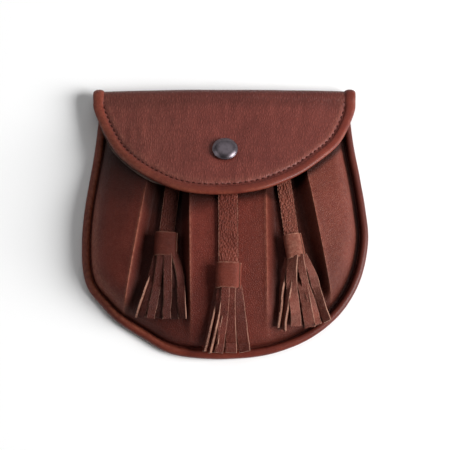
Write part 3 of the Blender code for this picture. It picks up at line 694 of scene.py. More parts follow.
def grain_leather(name, deep, light, rubbed_and_lit, pebble, stretch, depth, rough, gloss):
    """Dyed, pebbled leather: pebble tops lighter as wear and painted sheen, creases dark, and painted shade
    mixed in by its mark.
    """
    material, tree, shader = new_material(name)
    place_in = add(tree, "ShaderNodeTexCoord")["Object"]
    grain = place(tree, GRAIN, {"Vector": place_in, "Pebble": pebble, "Stretch": stretch})
    dye = dyed(tree, place_in, deep, light, DYE_CLOUD)
    worn = add(tree, "ShaderNodeAttribute", attribute_name="rubbed_and_lit")["Fac"]
    kept = add(tree, "ShaderNodeAttribute", attribute_name="painted_shade")["Fac"]
    wear_and_light = place(tree, WEAR_AND_LIGHT, {"Vector": place_in, "Colour": dye, "RubbedAndLit": shade(rubbed_and_lit), "Mask": worn})
    # Pebble tops lean toward the lighter tone: partly wear, partly painted sheen.
    tops = mapped(tree, grain["Height"], 0.55, 0.95, 0.0, TOPS_RUBBED_AND_LIT)
    topped = mixed(tree, tops, wear_and_light["Colour"], shade(rubbed_and_lit))
    creased = mixed(tree, maths(tree, "MULTIPLY", grain["Crease"], DARK_CREASES), topped, CREASE_AND_SHADE_TONE)
    roughness = mapped(tree, grain["Height"], 0.1, 0.9, rough + 0.12, rough - 0.04, smooth=False)
    smoother = maths(tree, "MULTIPLY", wear_and_light["Amount"], WORN_SMOOTHER)
    fill_inputs(tree, shader, {
        # Painted shade: the piece's painted-shade mark mixes the colour toward the darkest tone.
        "Base Color": mixed(tree, kept, creased, CREASE_AND_SHADE_TONE),
        "Roughness": maths(tree, "SUBTRACT", roughness, smoother),
        "Specular IOR Level": gloss,
        "Normal": raised(tree, grain["Height"], depth),
    })
    return material


# Deep and light tones, a lighter tone for wear and painted highlights, then pebble size, stretch and depth,
# roughness and gloss.
LEATHERS = {
    "panel_leather": ((98, 38, 29), (113, 47, 37), (160, 98, 78), 0.0012, 0.9, 0.00022, 0.40, 0.15),
    "flap_leather": ((106, 48, 41), (115, 54, 46), (146, 88, 72), 0.0013, 2.6, 0.00019, 0.43, 0.29),
    "cord_leather": ((96, 38, 29), (110, 45, 34), (154, 88, 66), 0.0010, 1.0, 0.00006, 0.34, 0.22),
    "strap_leather": ((102, 43, 32), (126, 60, 46), (156, 102, 84), 0.0008, 1.2, 0.00012, 0.45, 0.19),
    "head_leather": ((102, 43, 32), (120, 54, 41), (172, 122, 102), 0.0007, 0.5, 0.00010, 0.42, 0.14),
    "strip_leather": ((90, 39, 30), (112, 51, 40), (150, 102, 86), 0.0009, 1.2, 0.00024, 0.42, 0.17),
}
panel_leather, flap_leather, cord_leather, strap_leather, head_leather, strip_leather = (
    grain_leather(name, *look) for name, look in LEATHERS.items()
)

# %% Flesh side, cut edge, thread and metal
FLESH_CLOUD = 0.006


def flesh_leather(name, deep, light):
    """The rough inner side of the hide: no shine, mottled, with short raised fibres."""
    material, tree, shader = new_material(name)
    place_in = add(tree, "ShaderNodeTexCoord")["Object"]
    dye = dyed(tree, place_in, deep, light, FLESH_CLOUD)
    fibre = noise(tree, place_in, 1600.0, 5.0)
    fill_inputs(tree, shader, {
        "Base Color": mixed(tree, mapped(tree, fibre, 0.35, 0.7), dye, shade(light)),
        "Roughness": 0.9,
        "Specular IOR Level": 0.25,
        "Normal": raised(tree, fibre, 0.00018),
    })
    return material


flesh_side = flesh_leather("flesh_side", (84, 46, 36), (120, 76, 60))
cut_edge = flesh_leather("cut_edge", (78, 44, 36), (140, 102, 86))
raw_edge = flesh_leather("raw_edge", (66, 50, 46), (112, 92, 84))


def thread_material():
    """Waxed dark red thread: plies wind round it, drawn by waves along its own UV."""
    material, tree, shader = new_material("waxed_thread")
    along = add(tree, "ShaderNodeUVMap", uv_map="along_across")[0]
    waves = {"Vector": along, "Scale": 4.0, "Distortion": 0.4}
    ply = add(tree, "ShaderNodeTexWave", waves, bands_direction="DIAGONAL")["Fac"]
    fill_inputs(tree, shader, {
        "Base Color": mixed(tree, ply, shade((46, 17, 13)), shade((84, 35, 28))),
        "Roughness": 0.8,
        "Specular IOR Level": 0.15,
        "Normal": raised(tree, ply, 0.00010, 0.8),
    })
    return material


def nickel_material(name, dark, bright, centre):
    """Antique nickel: dull and blotched, a little darker toward its rim, with fine scratches."""
    material, tree, shader = new_material(name)
    place_in = add(tree, "ShaderNodeTexCoord")["Object"]
    here = {"Vector": place_in, "Location": tuple(-v for v in centre)}
    from_centre = add(tree, "ShaderNodeMapping", here)[0]
    away = add(tree, "ShaderNodeVectorMath", {0: from_centre}, operation="LENGTH")["Value"]
    rim = maths(tree, "MULTIPLY", mapped(tree, away, 0.0050, 0.0082), 0.1)
    blotch = mapped(tree, noise(tree, place_in, 380.0, 4.0), 0.45, 0.75, 0.0, 0.4)
    patina = maths(tree, "ADD", rim, blotch)
    drawn_out = add(tree, "ShaderNodeMapping", {"Vector": from_centre, "Scale": (300, 5200, 300)})[0]
    scratch = noise(tree, drawn_out, 1.0, 2.0)
    rough = mapped(tree, patina, 0.0, 1.0, 0.34, 0.42)
    fill_inputs(tree, shader, {
        "Base Color": mixed(tree, patina, bright, dark),
        "Metallic": 1.0,
        "Roughness": maths(tree, "ADD", rough, maths(tree, "MULTIPLY", scratch, 0.06)),
        "Normal": raised(tree, scratch, 0.00002, 0.35),
    })
    return material


thread = thread_material()
snap_centre = (np.array(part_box("snap_cap")[0]) + np.array(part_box("snap_cap")[1])) / 2
nickel = nickel_material("antique_nickel", (0.050, 0.046, 0.048, 1), (0.185, 0.156, 0.178, 1), snap_centre)
print("materials:", [material.name for material in bpy.data.materials])

# %% [markdown]
# The front is one piece of leather, wet-formed over the belly and folded into two pleats. Its fold
# ridges are painted pale, partly as wear and partly as a painted highlight, and its folds, its seam
# groove and the leather under the flap carry painted shade. A cloth simulation could drape a flat
# blank, but the photographed folds have known places, so the surface is the height function on a
# grid whose columns run along the pleats and crowd where a wall turns. The inner face is the same
# grid moved in by the leather.

# %% Plan grids inside the seam


def coons(top, left, bottom, right, across, down):
    """Plan points between four edges: ruled both ways, less the blend of the four corners."""
    s = across[None, :, None]
    t = down[:, None, None]
    ruled = (1 - t) * top[None] + t * bottom[None] + (1 - s) * left[:, None] + s * right[:, None]
    corners = (1 - s) * (1 - t) * top[0] + s * (1 - t) * top[-1] + (1 - s) * t * bottom[0]
    return ruled - corners - s * t * bottom[-1]


def side_plan(seam, cross, end, inner, top_y, down, columns):
    """Patch between the left seam and the outermost pleat line, closer at the seam."""
    first = np.flatnonzero(seam[:, 1] < top_y)[0]
    level = (seam[first - 1, 1] - top_y) / (seam[first - 1, 1] - seam[first, 1])
    start = seam[first - 1] + level * (seam[first] - seam[first - 1])
    edge = np.concatenate([[start], seam[first : cross + 1], [end]])
    corner = 0.82
    across = np.linspace(0, 1, columns + 1) ** 1.5
    left = spaced(edge, down * corner)
    bottom = spaced(edge, corner + across * (1 - corner))
    top = start + across[:, None] * (inner[0] - start)
    return coons(top, left, bottom, inner, across, down)


def panel_plan(top_y, rows, side_columns, hem, foot):
    """Straight columns along the pleats down to the seam, and a patch on either side of them."""
    down = 1 - (1 - np.linspace(0, 1, rows + 1)) ** 1.4
    columns = []
    ends = []
    for column_hem, column_foot in zip(hem, foot):
        beside = SEAM_LINE[:, 0] - pleat_line(column_hem, column_foot, SEAM_LINE[:, 1])
        low = SEAM_LINE[:, 1] < BOTTOM + 0.5 * POUCH_LENGTH
        cross = np.flatnonzero((beside[:-1] < 0) & (beside[1:] >= 0) & low[:-1])[0]
        share = beside[cross] / (beside[cross] - beside[cross + 1])
        end = SEAM_LINE[cross] + share * (SEAM_LINE[cross + 1] - SEAM_LINE[cross])
        start = np.array([pleat_line(column_hem, column_foot, top_y), top_y])
        ends.append((cross, end))
        columns.append(start + down[:, None] * (end - start))
    grid = np.stack(columns, axis=1)
    left = side_plan(SEAM_LINE, *ends[0], grid[:, 0], top_y, down, side_columns)
    flip = np.array([-1, 1])
    cross, end = ends[-1]
    other = (len(SEAM_LINE) - 2 - cross, end * flip, grid[:, -1] * flip)
    right = side_plan(SEAM_LINE[::-1] * flip, *other, top_y, down, side_columns)
    return np.concatenate([left[:, :-1], grid, (right * flip)[:, -2::-1]], axis=1)


def pleat_columns():
    """Hem and foot shares of the columns between the outer pleat lines."""
    hem, foot = [], []
    for i in range(len(PLEATS["hem"]) - 1):
        share = np.linspace(0, 1, int(PLEATS["columns"][i]), endpoint=False)
        hem.extend(PLEATS["hem"][i] + (PLEATS["hem"][i + 1] - PLEATS["hem"][i]) * share)
        foot.extend(PLEATS["foot"][i] + (PLEATS["foot"][i + 1] - PLEATS["foot"][i]) * share)
    return np.array(hem + [PLEATS["hem"][-1]]), np.array(foot + [PLEATS["foot"][-1]])


def with_height(plan, surface):
    """A grid of plan points with the height of a surface there."""
    return np.dstack([plan, surface(plan[..., 0], plan[..., 1])])


def level_edges(normal, edges):
    """Normals at edges that are sewn to the back lie level, so that the wall starts upright."""
    for edge in edges:
        normal[edge][:, 2] = 0
        normal[edge] = unit(normal[edge])
    return normal


# %% Plan outline of the flap
FLAP_WIDTH = 0.1656
FLAP_DROP = 0.069
FLAP_SHIFT = -0.0005

FLAP_EDGE = table("across down", [
    (-0.998, 0.000),
    (-0.998, 0.065),
    (-0.984, 0.135),
    (-0.960, 0.217),
    (-0.910, 0.354),
    (-0.817, 0.550),
    (-0.670, 0.733),
    (-0.529, 0.849),
    (-0.389, 0.936),
    (-0.240, 0.984),
    (-0.050, 1.000),
    (0.140, 0.985),
    (0.303, 0.941),
    (0.442, 0.871),
    (0.585, 0.772),
    (0.722, 0.637),
    (0.871, 0.452),
    (0.965, 0.226),
    (1.000, 0.080),
    (1.000, 0.000),
])
FLAP_POINTS = np.stack(
    [FLAP_SHIFT + FLAP_EDGE["across"] * FLAP_WIDTH / 2, TOP - FLAP_EDGE["down"] * FLAP_DROP], axis=1
)
FLAP_LINE = outline_through(FLAP_POINTS)


def shade_under_flap(x, y):
    """Painted shade under the flap: full under it, none a little below its hem, and reaching further down at
    the left.
    """
    hem = np.interp(x, FLAP_LINE[:, 0], FLAP_LINE[:, 1])
    reach = 0.008 + 0.012 * toward(LEFT, x, 4) + 0.062 * toward(LEFT, x, 2.2, 1.0)
    return 1 - smooth_step((hem - y + 0.001) / reach)


print("flap is", round(1000 * FLAP_WIDTH, 1), "mm wide and hangs", round(1000 * FLAP_DROP, 1), "mm down")

# %% Front
FRONT_ROWS = 130
FRONT_SIDE_COLUMNS = 44
# Painted shade: the folds, the lit wall right of the centre panel, the groove by the seam, the right and
# lower part, and a patch low at the left are darkened.
LIT_RIDGE = 4
LIT_WALL_IN = 0.0026
LIT_WALL_WIDTH = 0.004
LEFT_FOLDS, RIGHT_FOLDS, LIT_FOLD = 0.8, 0.34, 0.4
LEFT_RIDGES, RIGHT_RIDGES = 0.85, 0.5
SEAM_SHADE = 0.8
SEAM_WIDTH = 0.0016
RIGHT_SHADE, LOWER_SHADE, LOW_LEFT_SHADE = 0.30, 0.24, 0.4
# Painted light: a sheen over the right side, a lighter far left, and a highlight beside the left seam.
RIGHT_SHEEN, LEFT_PAINTED_LIGHT, SEAM_HIGHLIGHT = 0.25, 0.10, 0.5
DARKEST = 0.97


def front_marks(x, y):
    """Lighter ridges as wear and painted highlight, painted light at both sides and by the left seam; painted
    shade in folds, seam groove, under the flap, low and right.
    """
    # Painted shade in the folds, stronger at the left, and most on the lit wall beside the right ridge.
    in_fold = np.clip(sunk(x, y), 0, 1) ** np.where(x < 0, 0.26, 0.9) * pleated(y)
    wall = pleat_line(PLEATS["hem"][LIT_RIDGE], PLEATS["foot"][LIT_RIDGE], y) + LIT_WALL_IN
    right_fold = RIGHT_FOLDS + LIT_FOLD * bump(x - wall, LIT_WALL_WIDTH)
    fold_shade = np.where(x < 0, LEFT_FOLDS, right_fold) * in_fold
    to_seam = distance_to(SEAM_LINE, x, y)
    # Painted shade in the groove beside the piping, mostly at the right.
    groove_shade = SEAM_SHADE * bump(to_seam - 0.0004, SEAM_WIDTH) * (0.12 + 0.88 * toward(RIGHT, x))
    kept = shade_under_flap(x, y)
    right = toward(RIGHT, x, 1.5)
    # Painted shade toward the right and lower down, and a painted shadow low at the left beside the centre
    # tassel.
    lower = RIGHT_SHADE + LOWER_SHADE * smooth_step((-y - 0.012) / 0.03)
    low_left = LOW_LEFT_SHADE * bump(x + 0.028, 0.026) * smooth_step((-y - 0.035) / 0.02)
    painted_shade = fold_shade + kept + groove_shade + lower * right + low_left
    # The ridges are lighter, partly as wear and partly as a painted highlight; painted light at both sides
    # and a painted highlight beside the left seam.
    ridges = np.where(x < 0, LEFT_RIDGES, RIGHT_RIDGES) * ridge_mask(x, y, RIDGE_WIDTH / 2)
    seam_highlight = SEAM_HIGHLIGHT * bump(to_seam - 0.002, 0.0022) * toward(LEFT, x, 1.5, 0.4) * (1 - kept)
    rubbed_and_lit = ridges + RIGHT_SHEEN * right + LEFT_PAINTED_LIGHT * toward(LEFT, x, 1.6, 0.6) + seam_highlight
    return {"rubbed_and_lit": np.clip(rubbed_and_lit, 0, 1), "painted_shade": np.clip(painted_shade, 0, DARKEST)}


def make_front():
    """Outer face = front height over the plan grid; inner face = outer less leather x normal."""
    plan = panel_plan(TOP - MOUTH_DROP, FRONT_ROWS, FRONT_SIDE_COLUMNS, *pleat_columns())
    outer = with_height(plan, front_height)
    normal = level_edges(normals_of(outer), (np.s_[:, 0], np.s_[:, -1], np.s_[-1, :]))
    marks = front_marks(plan[..., 0], plan[..., 1])
    materials = [panel_leather, flesh_side, cut_edge]
    piece = add_wall("front", outer, outer - LEATHER * normal, materials, marks)
    shown(piece, "body_leather", "front_panel")


make_front()

# %% [markdown]
# The back is a plain panel that bows in between the piping. It is sewn to the front inside out, so
# that no stitch of this seam shows, and a cord covered in thin leather stands in the seam. Such a
# cord could be a curve with a round bevel. A swept ring of points also carries the fine puckers that
# the stitching pulls into its cover, and a tongue that goes between the two panels.

# %% Back and piping
BACK_ROWS = 70
BACK_SIDE_COLUMNS = 22
BACK_COLUMNS = 60


def make_back():
    """Lower face = back height over a plan grid; the wall stands straight up from it."""
    share = np.linspace(0, 1, BACK_COLUMNS)
    hem, foot = (line[0] + (line[-1] - line[0]) * share for line in (PLEATS["hem"], PLEATS["foot"]))
    lower = with_height(panel_plan(TOP, BACK_ROWS, BACK_SIDE_COLUMNS, hem, foot), back_height)
    piece = add_wall("back", lower, lower + (0, 0, LEATHER), [panel_leather, flesh_side, cut_edge])
    shown(piece, "body_leather", "back_panel")


def round_ends(run, radius):
    """Shares of full width along a path: a quarter circle at each end, 1 between."""
    to_end = np.clip(to_nearest_end(run) / radius, 0.02, 1)
    return np.sqrt(np.clip(1 - (1 - to_end) ** 2, 0, 1))[:, None, None]


PIPING_POINTS = 520
PIPING_SIDES = 22
PUCKER_PITCH = 0.0032
PUCKER_LEAN = 0.0009
PUCKER_SHARE = 0.05
SWELL_SHARE = 0.03
LIT_ANGLE = math.radians(58)
WELT_POINTS = 240
WELT_CORNERS = [(0.001, -0.00008), (0.001, 0.00008), (0.0055, 0.00008), (0.0055, -0.00008)]


def cord_line(below, count):
    """Plan points along the cord's middle, starting and ending a distance below the top."""
    line = moved_in(RIM_LINE, PIPING_DIAMETER / 2)
    return spaced(line[line[:, 1] < TOP - below], np.linspace(0, 1, count))


def make_piping():
    """Radius = cord radius x (1 + puckers on the inner side) round the outline at seam height."""
    xy = cord_line(MOUTH_DROP, PIPING_POINTS)
    run = lengths_along(xy)
    angle = round_angles(PIPING_SIDES)
    inner = np.clip(np.cos(angle), 0, 1)
    lean = run[:, None] + PUCKER_LEAN * np.sin(angle)
    pucker = PUCKER_SHARE * np.sin(2 * math.pi * lean / PUCKER_PITCH) * inner**2
    swell = SWELL_SHARE * cloud_along(run, 0.012, 21)[:, None]
    radius = (PIPING_DIAMETER / 2 * (0.985 + pucker + swell))[..., None]
    radius = radius * round_ends(run, PIPING_DIAMETER / 2)
    ring = np.cos(angle)[:, None] * level_sides(xy)[:, None] + np.sin(angle)[:, None] * (0, 0, 1)
    x = xy[:, :1]
    # The cord's top is lighter, partly wear and partly a painted highlight; a painted highlight on the inner
    # side at the left, painted light over the left, and painted shade on the right and on the inner side.
    crown = bump(np.sin(angle) - 0.85, 0.2) * (0.10 + 0.12 * cloud_along(run, 0.01, 22)[:, None])
    right = 0.45 * toward(RIGHT, x)
    lit = bump(angle - LIT_ANGLE, 0.5) * toward(LEFT, x, 1.5, 0.3)
    rubbed_and_lit = crown * (1 - 0.5 * right) + 0.12 * toward(LEFT, x) + lit
    marks = {"rubbed_and_lit": np.clip(rubbed_and_lit, 0, 1), "painted_shade": (right + 0.5 * inner) * (1 - lit)}
    rings = lifted(xy, SEAM_HEIGHT)[:, None] + radius * ring
    shown(add_tube("piping", rings, [cord_leather], marks=marks), "edge_leather", "body_piping")


def add_lip(name, middle, across, up, corners, material):
    """A thin flat strip along a path; each corner is a share of the vectors across and up."""
    rings = np.stack([middle + out * across + rise * up for out, rise in corners], axis=1)
    shown(add_tube(name, rings, [material]), "edge_leather")


def make_welt():
    """The flat tongue of the cord's cover, sewn between the front and the back."""
    xy = cord_line(MOUTH_DROP + PIPING_DIAMETER, WELT_POINTS)
    up = np.array([0, 0, 1])
    add_lip("seam_welt", lifted(xy, SEAM_HEIGHT), level_sides(xy), up, WELT_CORNERS, cord_leather)


make_back()
make_piping()
make_welt()

# %% [markdown]
# The flap is a second sheet, sewn to the back along its tail, folded over the mouth and snapped
# down. Its free edge is bound: a strip of the same leather is folded round it and sewn through, so
# the edge reads as a soft bead with a row of stitches in the crease beside it. The sheet could be
# draped by a simulation, but it is stiff, so it follows the belly at a set distance with slight
# slack, a dimple round the snap and a groove under the stitches.

# %% Flap sizes and heights
FLAP_LEATHER = 0.0020
FLAP_BEND = 0.0062
FLAP_CLEAR = 0.0047
FLAP_EDGE_CLEAR = 0.0027
FLAP_CLEAR_FROM = 0.12
FLAP_CLEAR_TO = 0.57
TAIL_LENGTH = 0.020
TAIL_WIDTH = 0.124
TAIL_HEIGHT = FLAP_LEATHER / 2
BINDING_WIDTH = 0.0058
BINDING_THICKNESS = 0.0034
STITCH_IN = 0.0066
SNAP_RADIUS = 0.0080
SNAP_DOME = 0.0034
SNAP_DROP = 0.0385


def flap_envelope(x, y):
    """Mid-leather of the flap: the belly's envelope and the room over it."""
    aside = smooth_step((abs(x) / HALF - FLAP_CLEAR_FROM) / (FLAP_CLEAR_TO - FLAP_CLEAR_FROM))
    clear = FLAP_CLEAR + (FLAP_EDGE_CLEAR - FLAP_CLEAR) * aside
    return SEAM_HEIGHT + belly(x, y) + clear


FLAP_SLACK = 0.00035
FLAP_RIPPLE = 0.00016
WRINKLE_HEIGHT = 0.00010
DIMPLE_DEPTH = 0.0006
STITCH_GROOVE = 0.00065
PILLOW_HEIGHT = 0.00007


def flap_relief(x, y):
    """Slack waves, upright wrinkles above the snap, its dimple, and the groove of the stitches."""
    slack = FLAP_SLACK * cloud(x, y, 0.03, 31) + FLAP_RIPPLE * cloud(x * 2.6, y, 0.009, 32)
    above = np.clip((y - (TOP - SNAP_DROP)) / 0.02, 0, 1) * bump(x, 0.012)
    wrinkles = WRINKLE_HEIGHT * above * cloud(x * 7, y, 0.012, 33)
    to_snap = np.hypot(x, y - (TOP - SNAP_DROP))
    dimple = -DIMPLE_DEPTH * bump(np.maximum(to_snap - SNAP_RADIUS * 0.7, 0), 0.0035)
    to_stitch = distance_to(FLAP_LINE, x, y) - STITCH_IN
    groove = -STITCH_GROOVE * bump(to_stitch, 0.0008)
    pillow = PILLOW_HEIGHT * bump(to_stitch - 0.0025, 0.0016)
    return slack + wrinkles + dimple + groove + pillow


def flap_height(x, y):
    """Mid-leather of the flap with its relief."""
    return flap_envelope(x, y) + flap_relief(x, y)


# %% Flap sheet
FLAP_COLUMNS = 210
FLAP_ROWS = 120
BEND_ROWS = 26
TAIL_ROWS = 60
TAIL_PRESS = 0.0004
TAIL_SEAMS = (0.0030, 0.0078)
FLAP_CORNER = 0.13
SHEET_IN = 0.62 * BINDING_WIDTH


def bend_points(x, angle):
    """Fold over the mouth: half an ellipse from the tail's side (0) to the front's (180 degrees)."""
    top_height = flap_envelope(x, np.full(np.shape(x), TOP))
    centre = (top_height + TAIL_HEIGHT) / 2
    bulge = FLAP_BEND * (1 + 0.03 * cloud(x, 0 * x, 0.03, 34))
    return np.dstack([x, TOP + bulge * np.sin(angle), centre - (centre - TAIL_HEIGHT) * np.cos(angle)])


def fold_width(angle):
    """Share of the flap's width round the fold: full over its front half, the tail's at angle 0."""
    full = FLAP_WIDTH - 2 * SHEET_IN
    return 1 - (1 - TAIL_WIDTH / full) * smooth_step(1 - 2 * angle / math.pi)


def tail_height(y):
    """The tail lies on the floor and is pressed up along its two seams."""
    return TAIL_HEIGHT + TAIL_PRESS * sum(bump(y - TOP + TAIL_LENGTH - up, 0.0009) for up in TAIL_SEAMS)


def flap_sheet():
    """Mid-leather grid of the tail, the fold and the half moon, rows from tail to hem."""
    edge = moved_in(FLAP_LINE, SHEET_IN)
    across = np.linspace(0, 1, FLAP_COLUMNS + 1)
    down = np.linspace(0, 1, FLAP_ROWS + 1)
    left = spaced(edge, down * FLAP_CORNER)
    right = spaced(edge, 1 - down * FLAP_CORNER)
    bottom = spaced(edge, FLAP_CORNER + across * (1 - 2 * FLAP_CORNER))
    top = edge[0] + across[:, None] * (edge[-1] - edge[0])
    plan = coons(top, left, bottom, right, across, down)
    half_moon = with_height(plan, flap_height)
    fade = smooth_step((TOP - plan[..., 1]) / 0.006)
    half_moon[..., 2] -= (1 - fade) * flap_relief(plan[..., 0], plan[..., 1])
    angle = np.linspace(0, math.pi, BEND_ROWS + 1)[:-1, None]
    bend = bend_points(fold_width(angle) * top[:, 0], angle)
    tail_y = np.linspace(TOP - TAIL_LENGTH, TOP, TAIL_ROWS + 1)[:-1, None]
    tail_x, tail_y = np.broadcast_arrays(bend[:1, :, 0], tail_y)
    return np.concatenate([np.dstack([tail_x, tail_y, tail_height(tail_y)]), bend, half_moon])


def make_flap():
    """Two faces, half a leather either side of the middle grid."""
    middle = flap_sheet()
    half = normals_of(middle) * FLAP_LEATHER / 2
    x, y, z = np.moveaxis(middle, 2, 0)
    upper = z > TAIL_HEIGHT + 0.001
    # Painted shade on the band where the flap turns over the fold, and a little on its right; a lighter band
    # just inside the stitches, and painted light on its left.
    fold_band_shade = bump(np.maximum(TOP - 0.002 - y, 0), 0.004) * upper
    edge = bump(distance_to(FLAP_LINE, x, y) - STITCH_IN - 0.002, 0.0012) * upper
    left, right = (toward(side, x, 1.5) for side in (LEFT, RIGHT))
    marks = {"rubbed_and_lit": 0.3 * edge + 0.22 * left, "painted_shade": np.maximum(0.34 * fold_band_shade, 0.12 * right)}
    materials = [flap_leather, flesh_side, cut_edge]
    shown(add_wall("flap_sheet", middle + half, middle - half, materials, marks), "body_leather", "flap")


make_flap()

# %% Flap binding


def flap_normals(x, y):
    """Upward unit normals of the flap's envelope by central differences."""
    step = LEATHER
    nx = (flap_envelope(x - step, y) - flap_envelope(x + step, y)) / (2 * step)
    ny = (flap_envelope(x, y - step) - flap_envelope(x, y + step)) / (2 * step)
    return unit(np.stack([nx, ny, np.ones(len(x))], axis=1))


def over_the_fold(line, count):
    """Places and normals along a plan line on the flap, and on over the bend at both ends."""
    xy = spaced(line, np.linspace(0, 1, count))
    x, y = xy.T
    path = lifted(xy, flap_envelope(x, y))
    over = np.radians(np.linspace(160, 80, 16))[:, None]
    start = bend_points(x[0] * fold_width(over[::-1]), over[::-1])[:, 0]
    end = bend_points(x[-1] * fold_width(over), over)[:, 0]
    turn = np.stack([0 * over[:, 0], np.sin(over[:, 0]), -np.cos(over[:, 0])], axis=1)
    return np.concatenate([start, path, end]), np.concatenate([turn[::-1], flap_normals(x, y), turn])


BINDING_POINTS = 560
BINDING_SIDES = 28
STITCH_PITCH = 0.0036
PULL_SHARE = 0.10
BEAD_SWELL = 0.05
END_SWELL = 0.45
END_SPREAD = 0.32


def squared(value, power):
    """A sine or cosine drawn out toward a square: its sign x its size^power."""
    return np.sign(value) * abs(value) ** power


def make_binding():
    """Squared oval section with a flat toward the stitches, puckered at each stitch."""
    path, normal = over_the_fold(moved_in(FLAP_LINE, BINDING_WIDTH / 2), BINDING_POINTS)
    run = lengths_along(path)
    x = path[:, :1]
    inward = unit(np.cross(normal, np.gradient(path, axis=0)))
    angle = round_angles(BINDING_SIDES)
    across, up = np.cos(angle), np.sin(angle)
    to_stitch = np.clip(across, 0, 1) ** 1.5 * np.clip(up + 0.5, 0, 1)
    pull = 0.5 * np.cos(2 * math.pi * run / STITCH_PITCH)[:, None]
    to_end = to_nearest_end(run)[:, None]
    puff = 1 + PULL_SHARE * pull * to_stitch + BEAD_SWELL * cloud_along(run, 0.011, 41)[:, None]
    puff = puff * (1 + END_SWELL * bump(to_end - 0.003, 0.005))
    spread = 1 + END_SPREAD * bump(to_end - 0.004, 0.009)
    wide = (squared(across, 0.85) * BINDING_WIDTH / 2 * spread)[..., None] * inward[:, None]
    high = (squared(up, 0.9) * BINDING_THICKNESS / 2 * puff)[..., None] * normal[:, None]
    # The bead's outer side is lighter, partly as wear and partly as a painted highlight, less so at the
    # right; its crown at the left carries a painted highlight.
    worn = bump(across + 0.75, 0.35) * (up > -0.2) * (0.30 + 0.25 * cloud_along(run, 0.008, 42)[:, None])
    crown = bump(up - 1, 0.3) * toward(LEFT, x, 1.3)
    marks = {"rubbed_and_lit": np.clip(worn * (1 - 0.45 * toward(RIGHT, x)) + 0.35 * crown, 0, 1)}
    rings = path[:, None] + round_ends(run, BINDING_THICKNESS) * (wide + high)
    shown(add_tube("flap_binding_bead", rings, [cord_leather], marks=marks), "edge_leather", "flap_binding")


RAW_EDGE_SHARES = (0.06, 0.34)
RAW_EDGE_POINTS = 260
RAW_EDGE_THICKNESS = 0.0005
RAW_EDGE_IN = 0.0008
RAW_EDGE_REACH = 0.0018
RAW_EDGE_WAVE = 0.0003
RAW_EDGE_FADE = 0.008
RAW_EDGE_CORNERS = [(-1, 0.5), (1.2, 0.5), (1.2, -0.5), (-1, -0.5)]


def make_raw_edge():
    """The binding's underlap: a thin flat lip a little outside the bead, level with its lower side."""
    xy = spaced(moved_in(FLAP_LINE, RAW_EDGE_IN), np.linspace(*RAW_EDGE_SHARES, RAW_EDGE_POINTS))
    run = lengths_along(xy)
    normal = flap_normals(*xy.T)
    low = lifted(xy, flap_envelope(*xy.T)) - 0.36 * BINDING_THICKNESS * normal
    fade = np.sqrt(np.clip(to_nearest_end(run) / RAW_EDGE_FADE, 0.04, 1))
    reach = (RAW_EDGE_REACH + RAW_EDGE_WAVE * cloud_along(run, 0.007, 43)) * fade
    across = reach[:, None] * level_sides(xy)
    add_lip("binding_underlap", low, across, RAW_EDGE_THICKNESS * normal, RAW_EDGE_CORNERS, raw_edge)


make_binding()
make_raw_edge()

# %% [markdown]
# Thread is what shows that leather is sewn. A dashed line in a texture would be enough from afar,
# but real stitches are short cords that sink at both ends, so each is its own small body. One
# template ring is placed at all stitches at once by their places, directions and normals.

# %% Stitches
STITCH_SIDES = 8
STITCH_RINGS = 7
STITCH_LENGTH = 0.72 * STITCH_PITCH
THREAD_RADIUS = 0.00042
TAIL_THREAD_RADIUS = 0.00025
TAIL_STITCH_IN = 0.004
ROW_POINTS = 200
FLOORWARD = (0.0, 0.0, -1.0)


def stitch_frames(path, normal, pitch):
    """Places, directions and normals at a whole number of stitches along a path."""
    run = lengths_along(path)
    count = int(run[-1] / pitch)
    shares = (np.arange(count) + 0.5) / count
    along = unit(spaced(path, shares + 0.2 / count) - spaced(path, shares - 0.2 / count))
    normal = np.broadcast_to(normal, path.shape)
    at = shares * run[-1]
    turned = unit(np.stack([np.interp(at, run, normal[:, axis]) for axis in range(3)], axis=1))
    return spaced(path, shares), along, turned


def make_stitches(name, frames, length, radius=THREAD_RADIUS):
    """Each stitch is an arc whose ends sink below the leather and taper, from one template."""
    places, along, normal = (np.concatenate(part)[:, None] for part in zip(*frames))
    count = len(places)
    t = np.linspace(-1, 1, STITCH_RINGS)[:, None]
    angle = round_angles(STITCH_SIDES)
    thick = radius * np.sqrt(np.clip(1.06 - t**2, 0, 1)) ** 0.6
    lift = radius * (0.55 - 1.5 * abs(t) ** 3)
    core = places + t * length / 2 * along + lift * normal
    ring = np.cos(angle)[:, None] * unit(np.cross(normal, along)) + np.sin(angle)[:, None] * normal
    points = core[:, :, None] + thick[:, None] * ring[:, None]
    everything = np.concatenate([points.reshape(count, -1, 3), core[:, [0, -1]]], axis=1)
    groups, fans = ring_groups(STITCH_RINGS, STITCH_SIDES, np.zeros(STITCH_SIDES, int))
    quads = groups[0][0]
    template = np.concatenate([quads[:, :3], quads[:, [0, 2, 3]], fans])
    faces = template + np.arange(count)[:, None, None] * everything.shape[1]
    round_it = np.tile(angle / (2 * math.pi), STITCH_RINGS)
    down_it = np.repeat(t * length / 2, STITCH_SIDES) / radius / 4
    uv = np.concatenate([np.stack([round_it, down_it], axis=1), np.zeros((2, 2))])
    groups = [(faces.reshape(-1, 3), 0)]
    shown(add_mesh(name, everything, groups, [thread], uv=np.tile(uv, (count, 1))), "edge_leather")


def make_flap_stitches():
    """One row round the flap, in the groove beside its bound edge."""
    xy = spaced(moved_in(FLAP_LINE, STITCH_IN), np.linspace(0, 1, 500))
    normal = flap_normals(*xy.T)
    path = lifted(xy, flap_height(*xy.T)) + normal * FLAP_LEATHER / 2
    make_stitches("flap_stitches", [stitch_frames(path, normal, STITCH_PITCH)], STITCH_LENGTH)


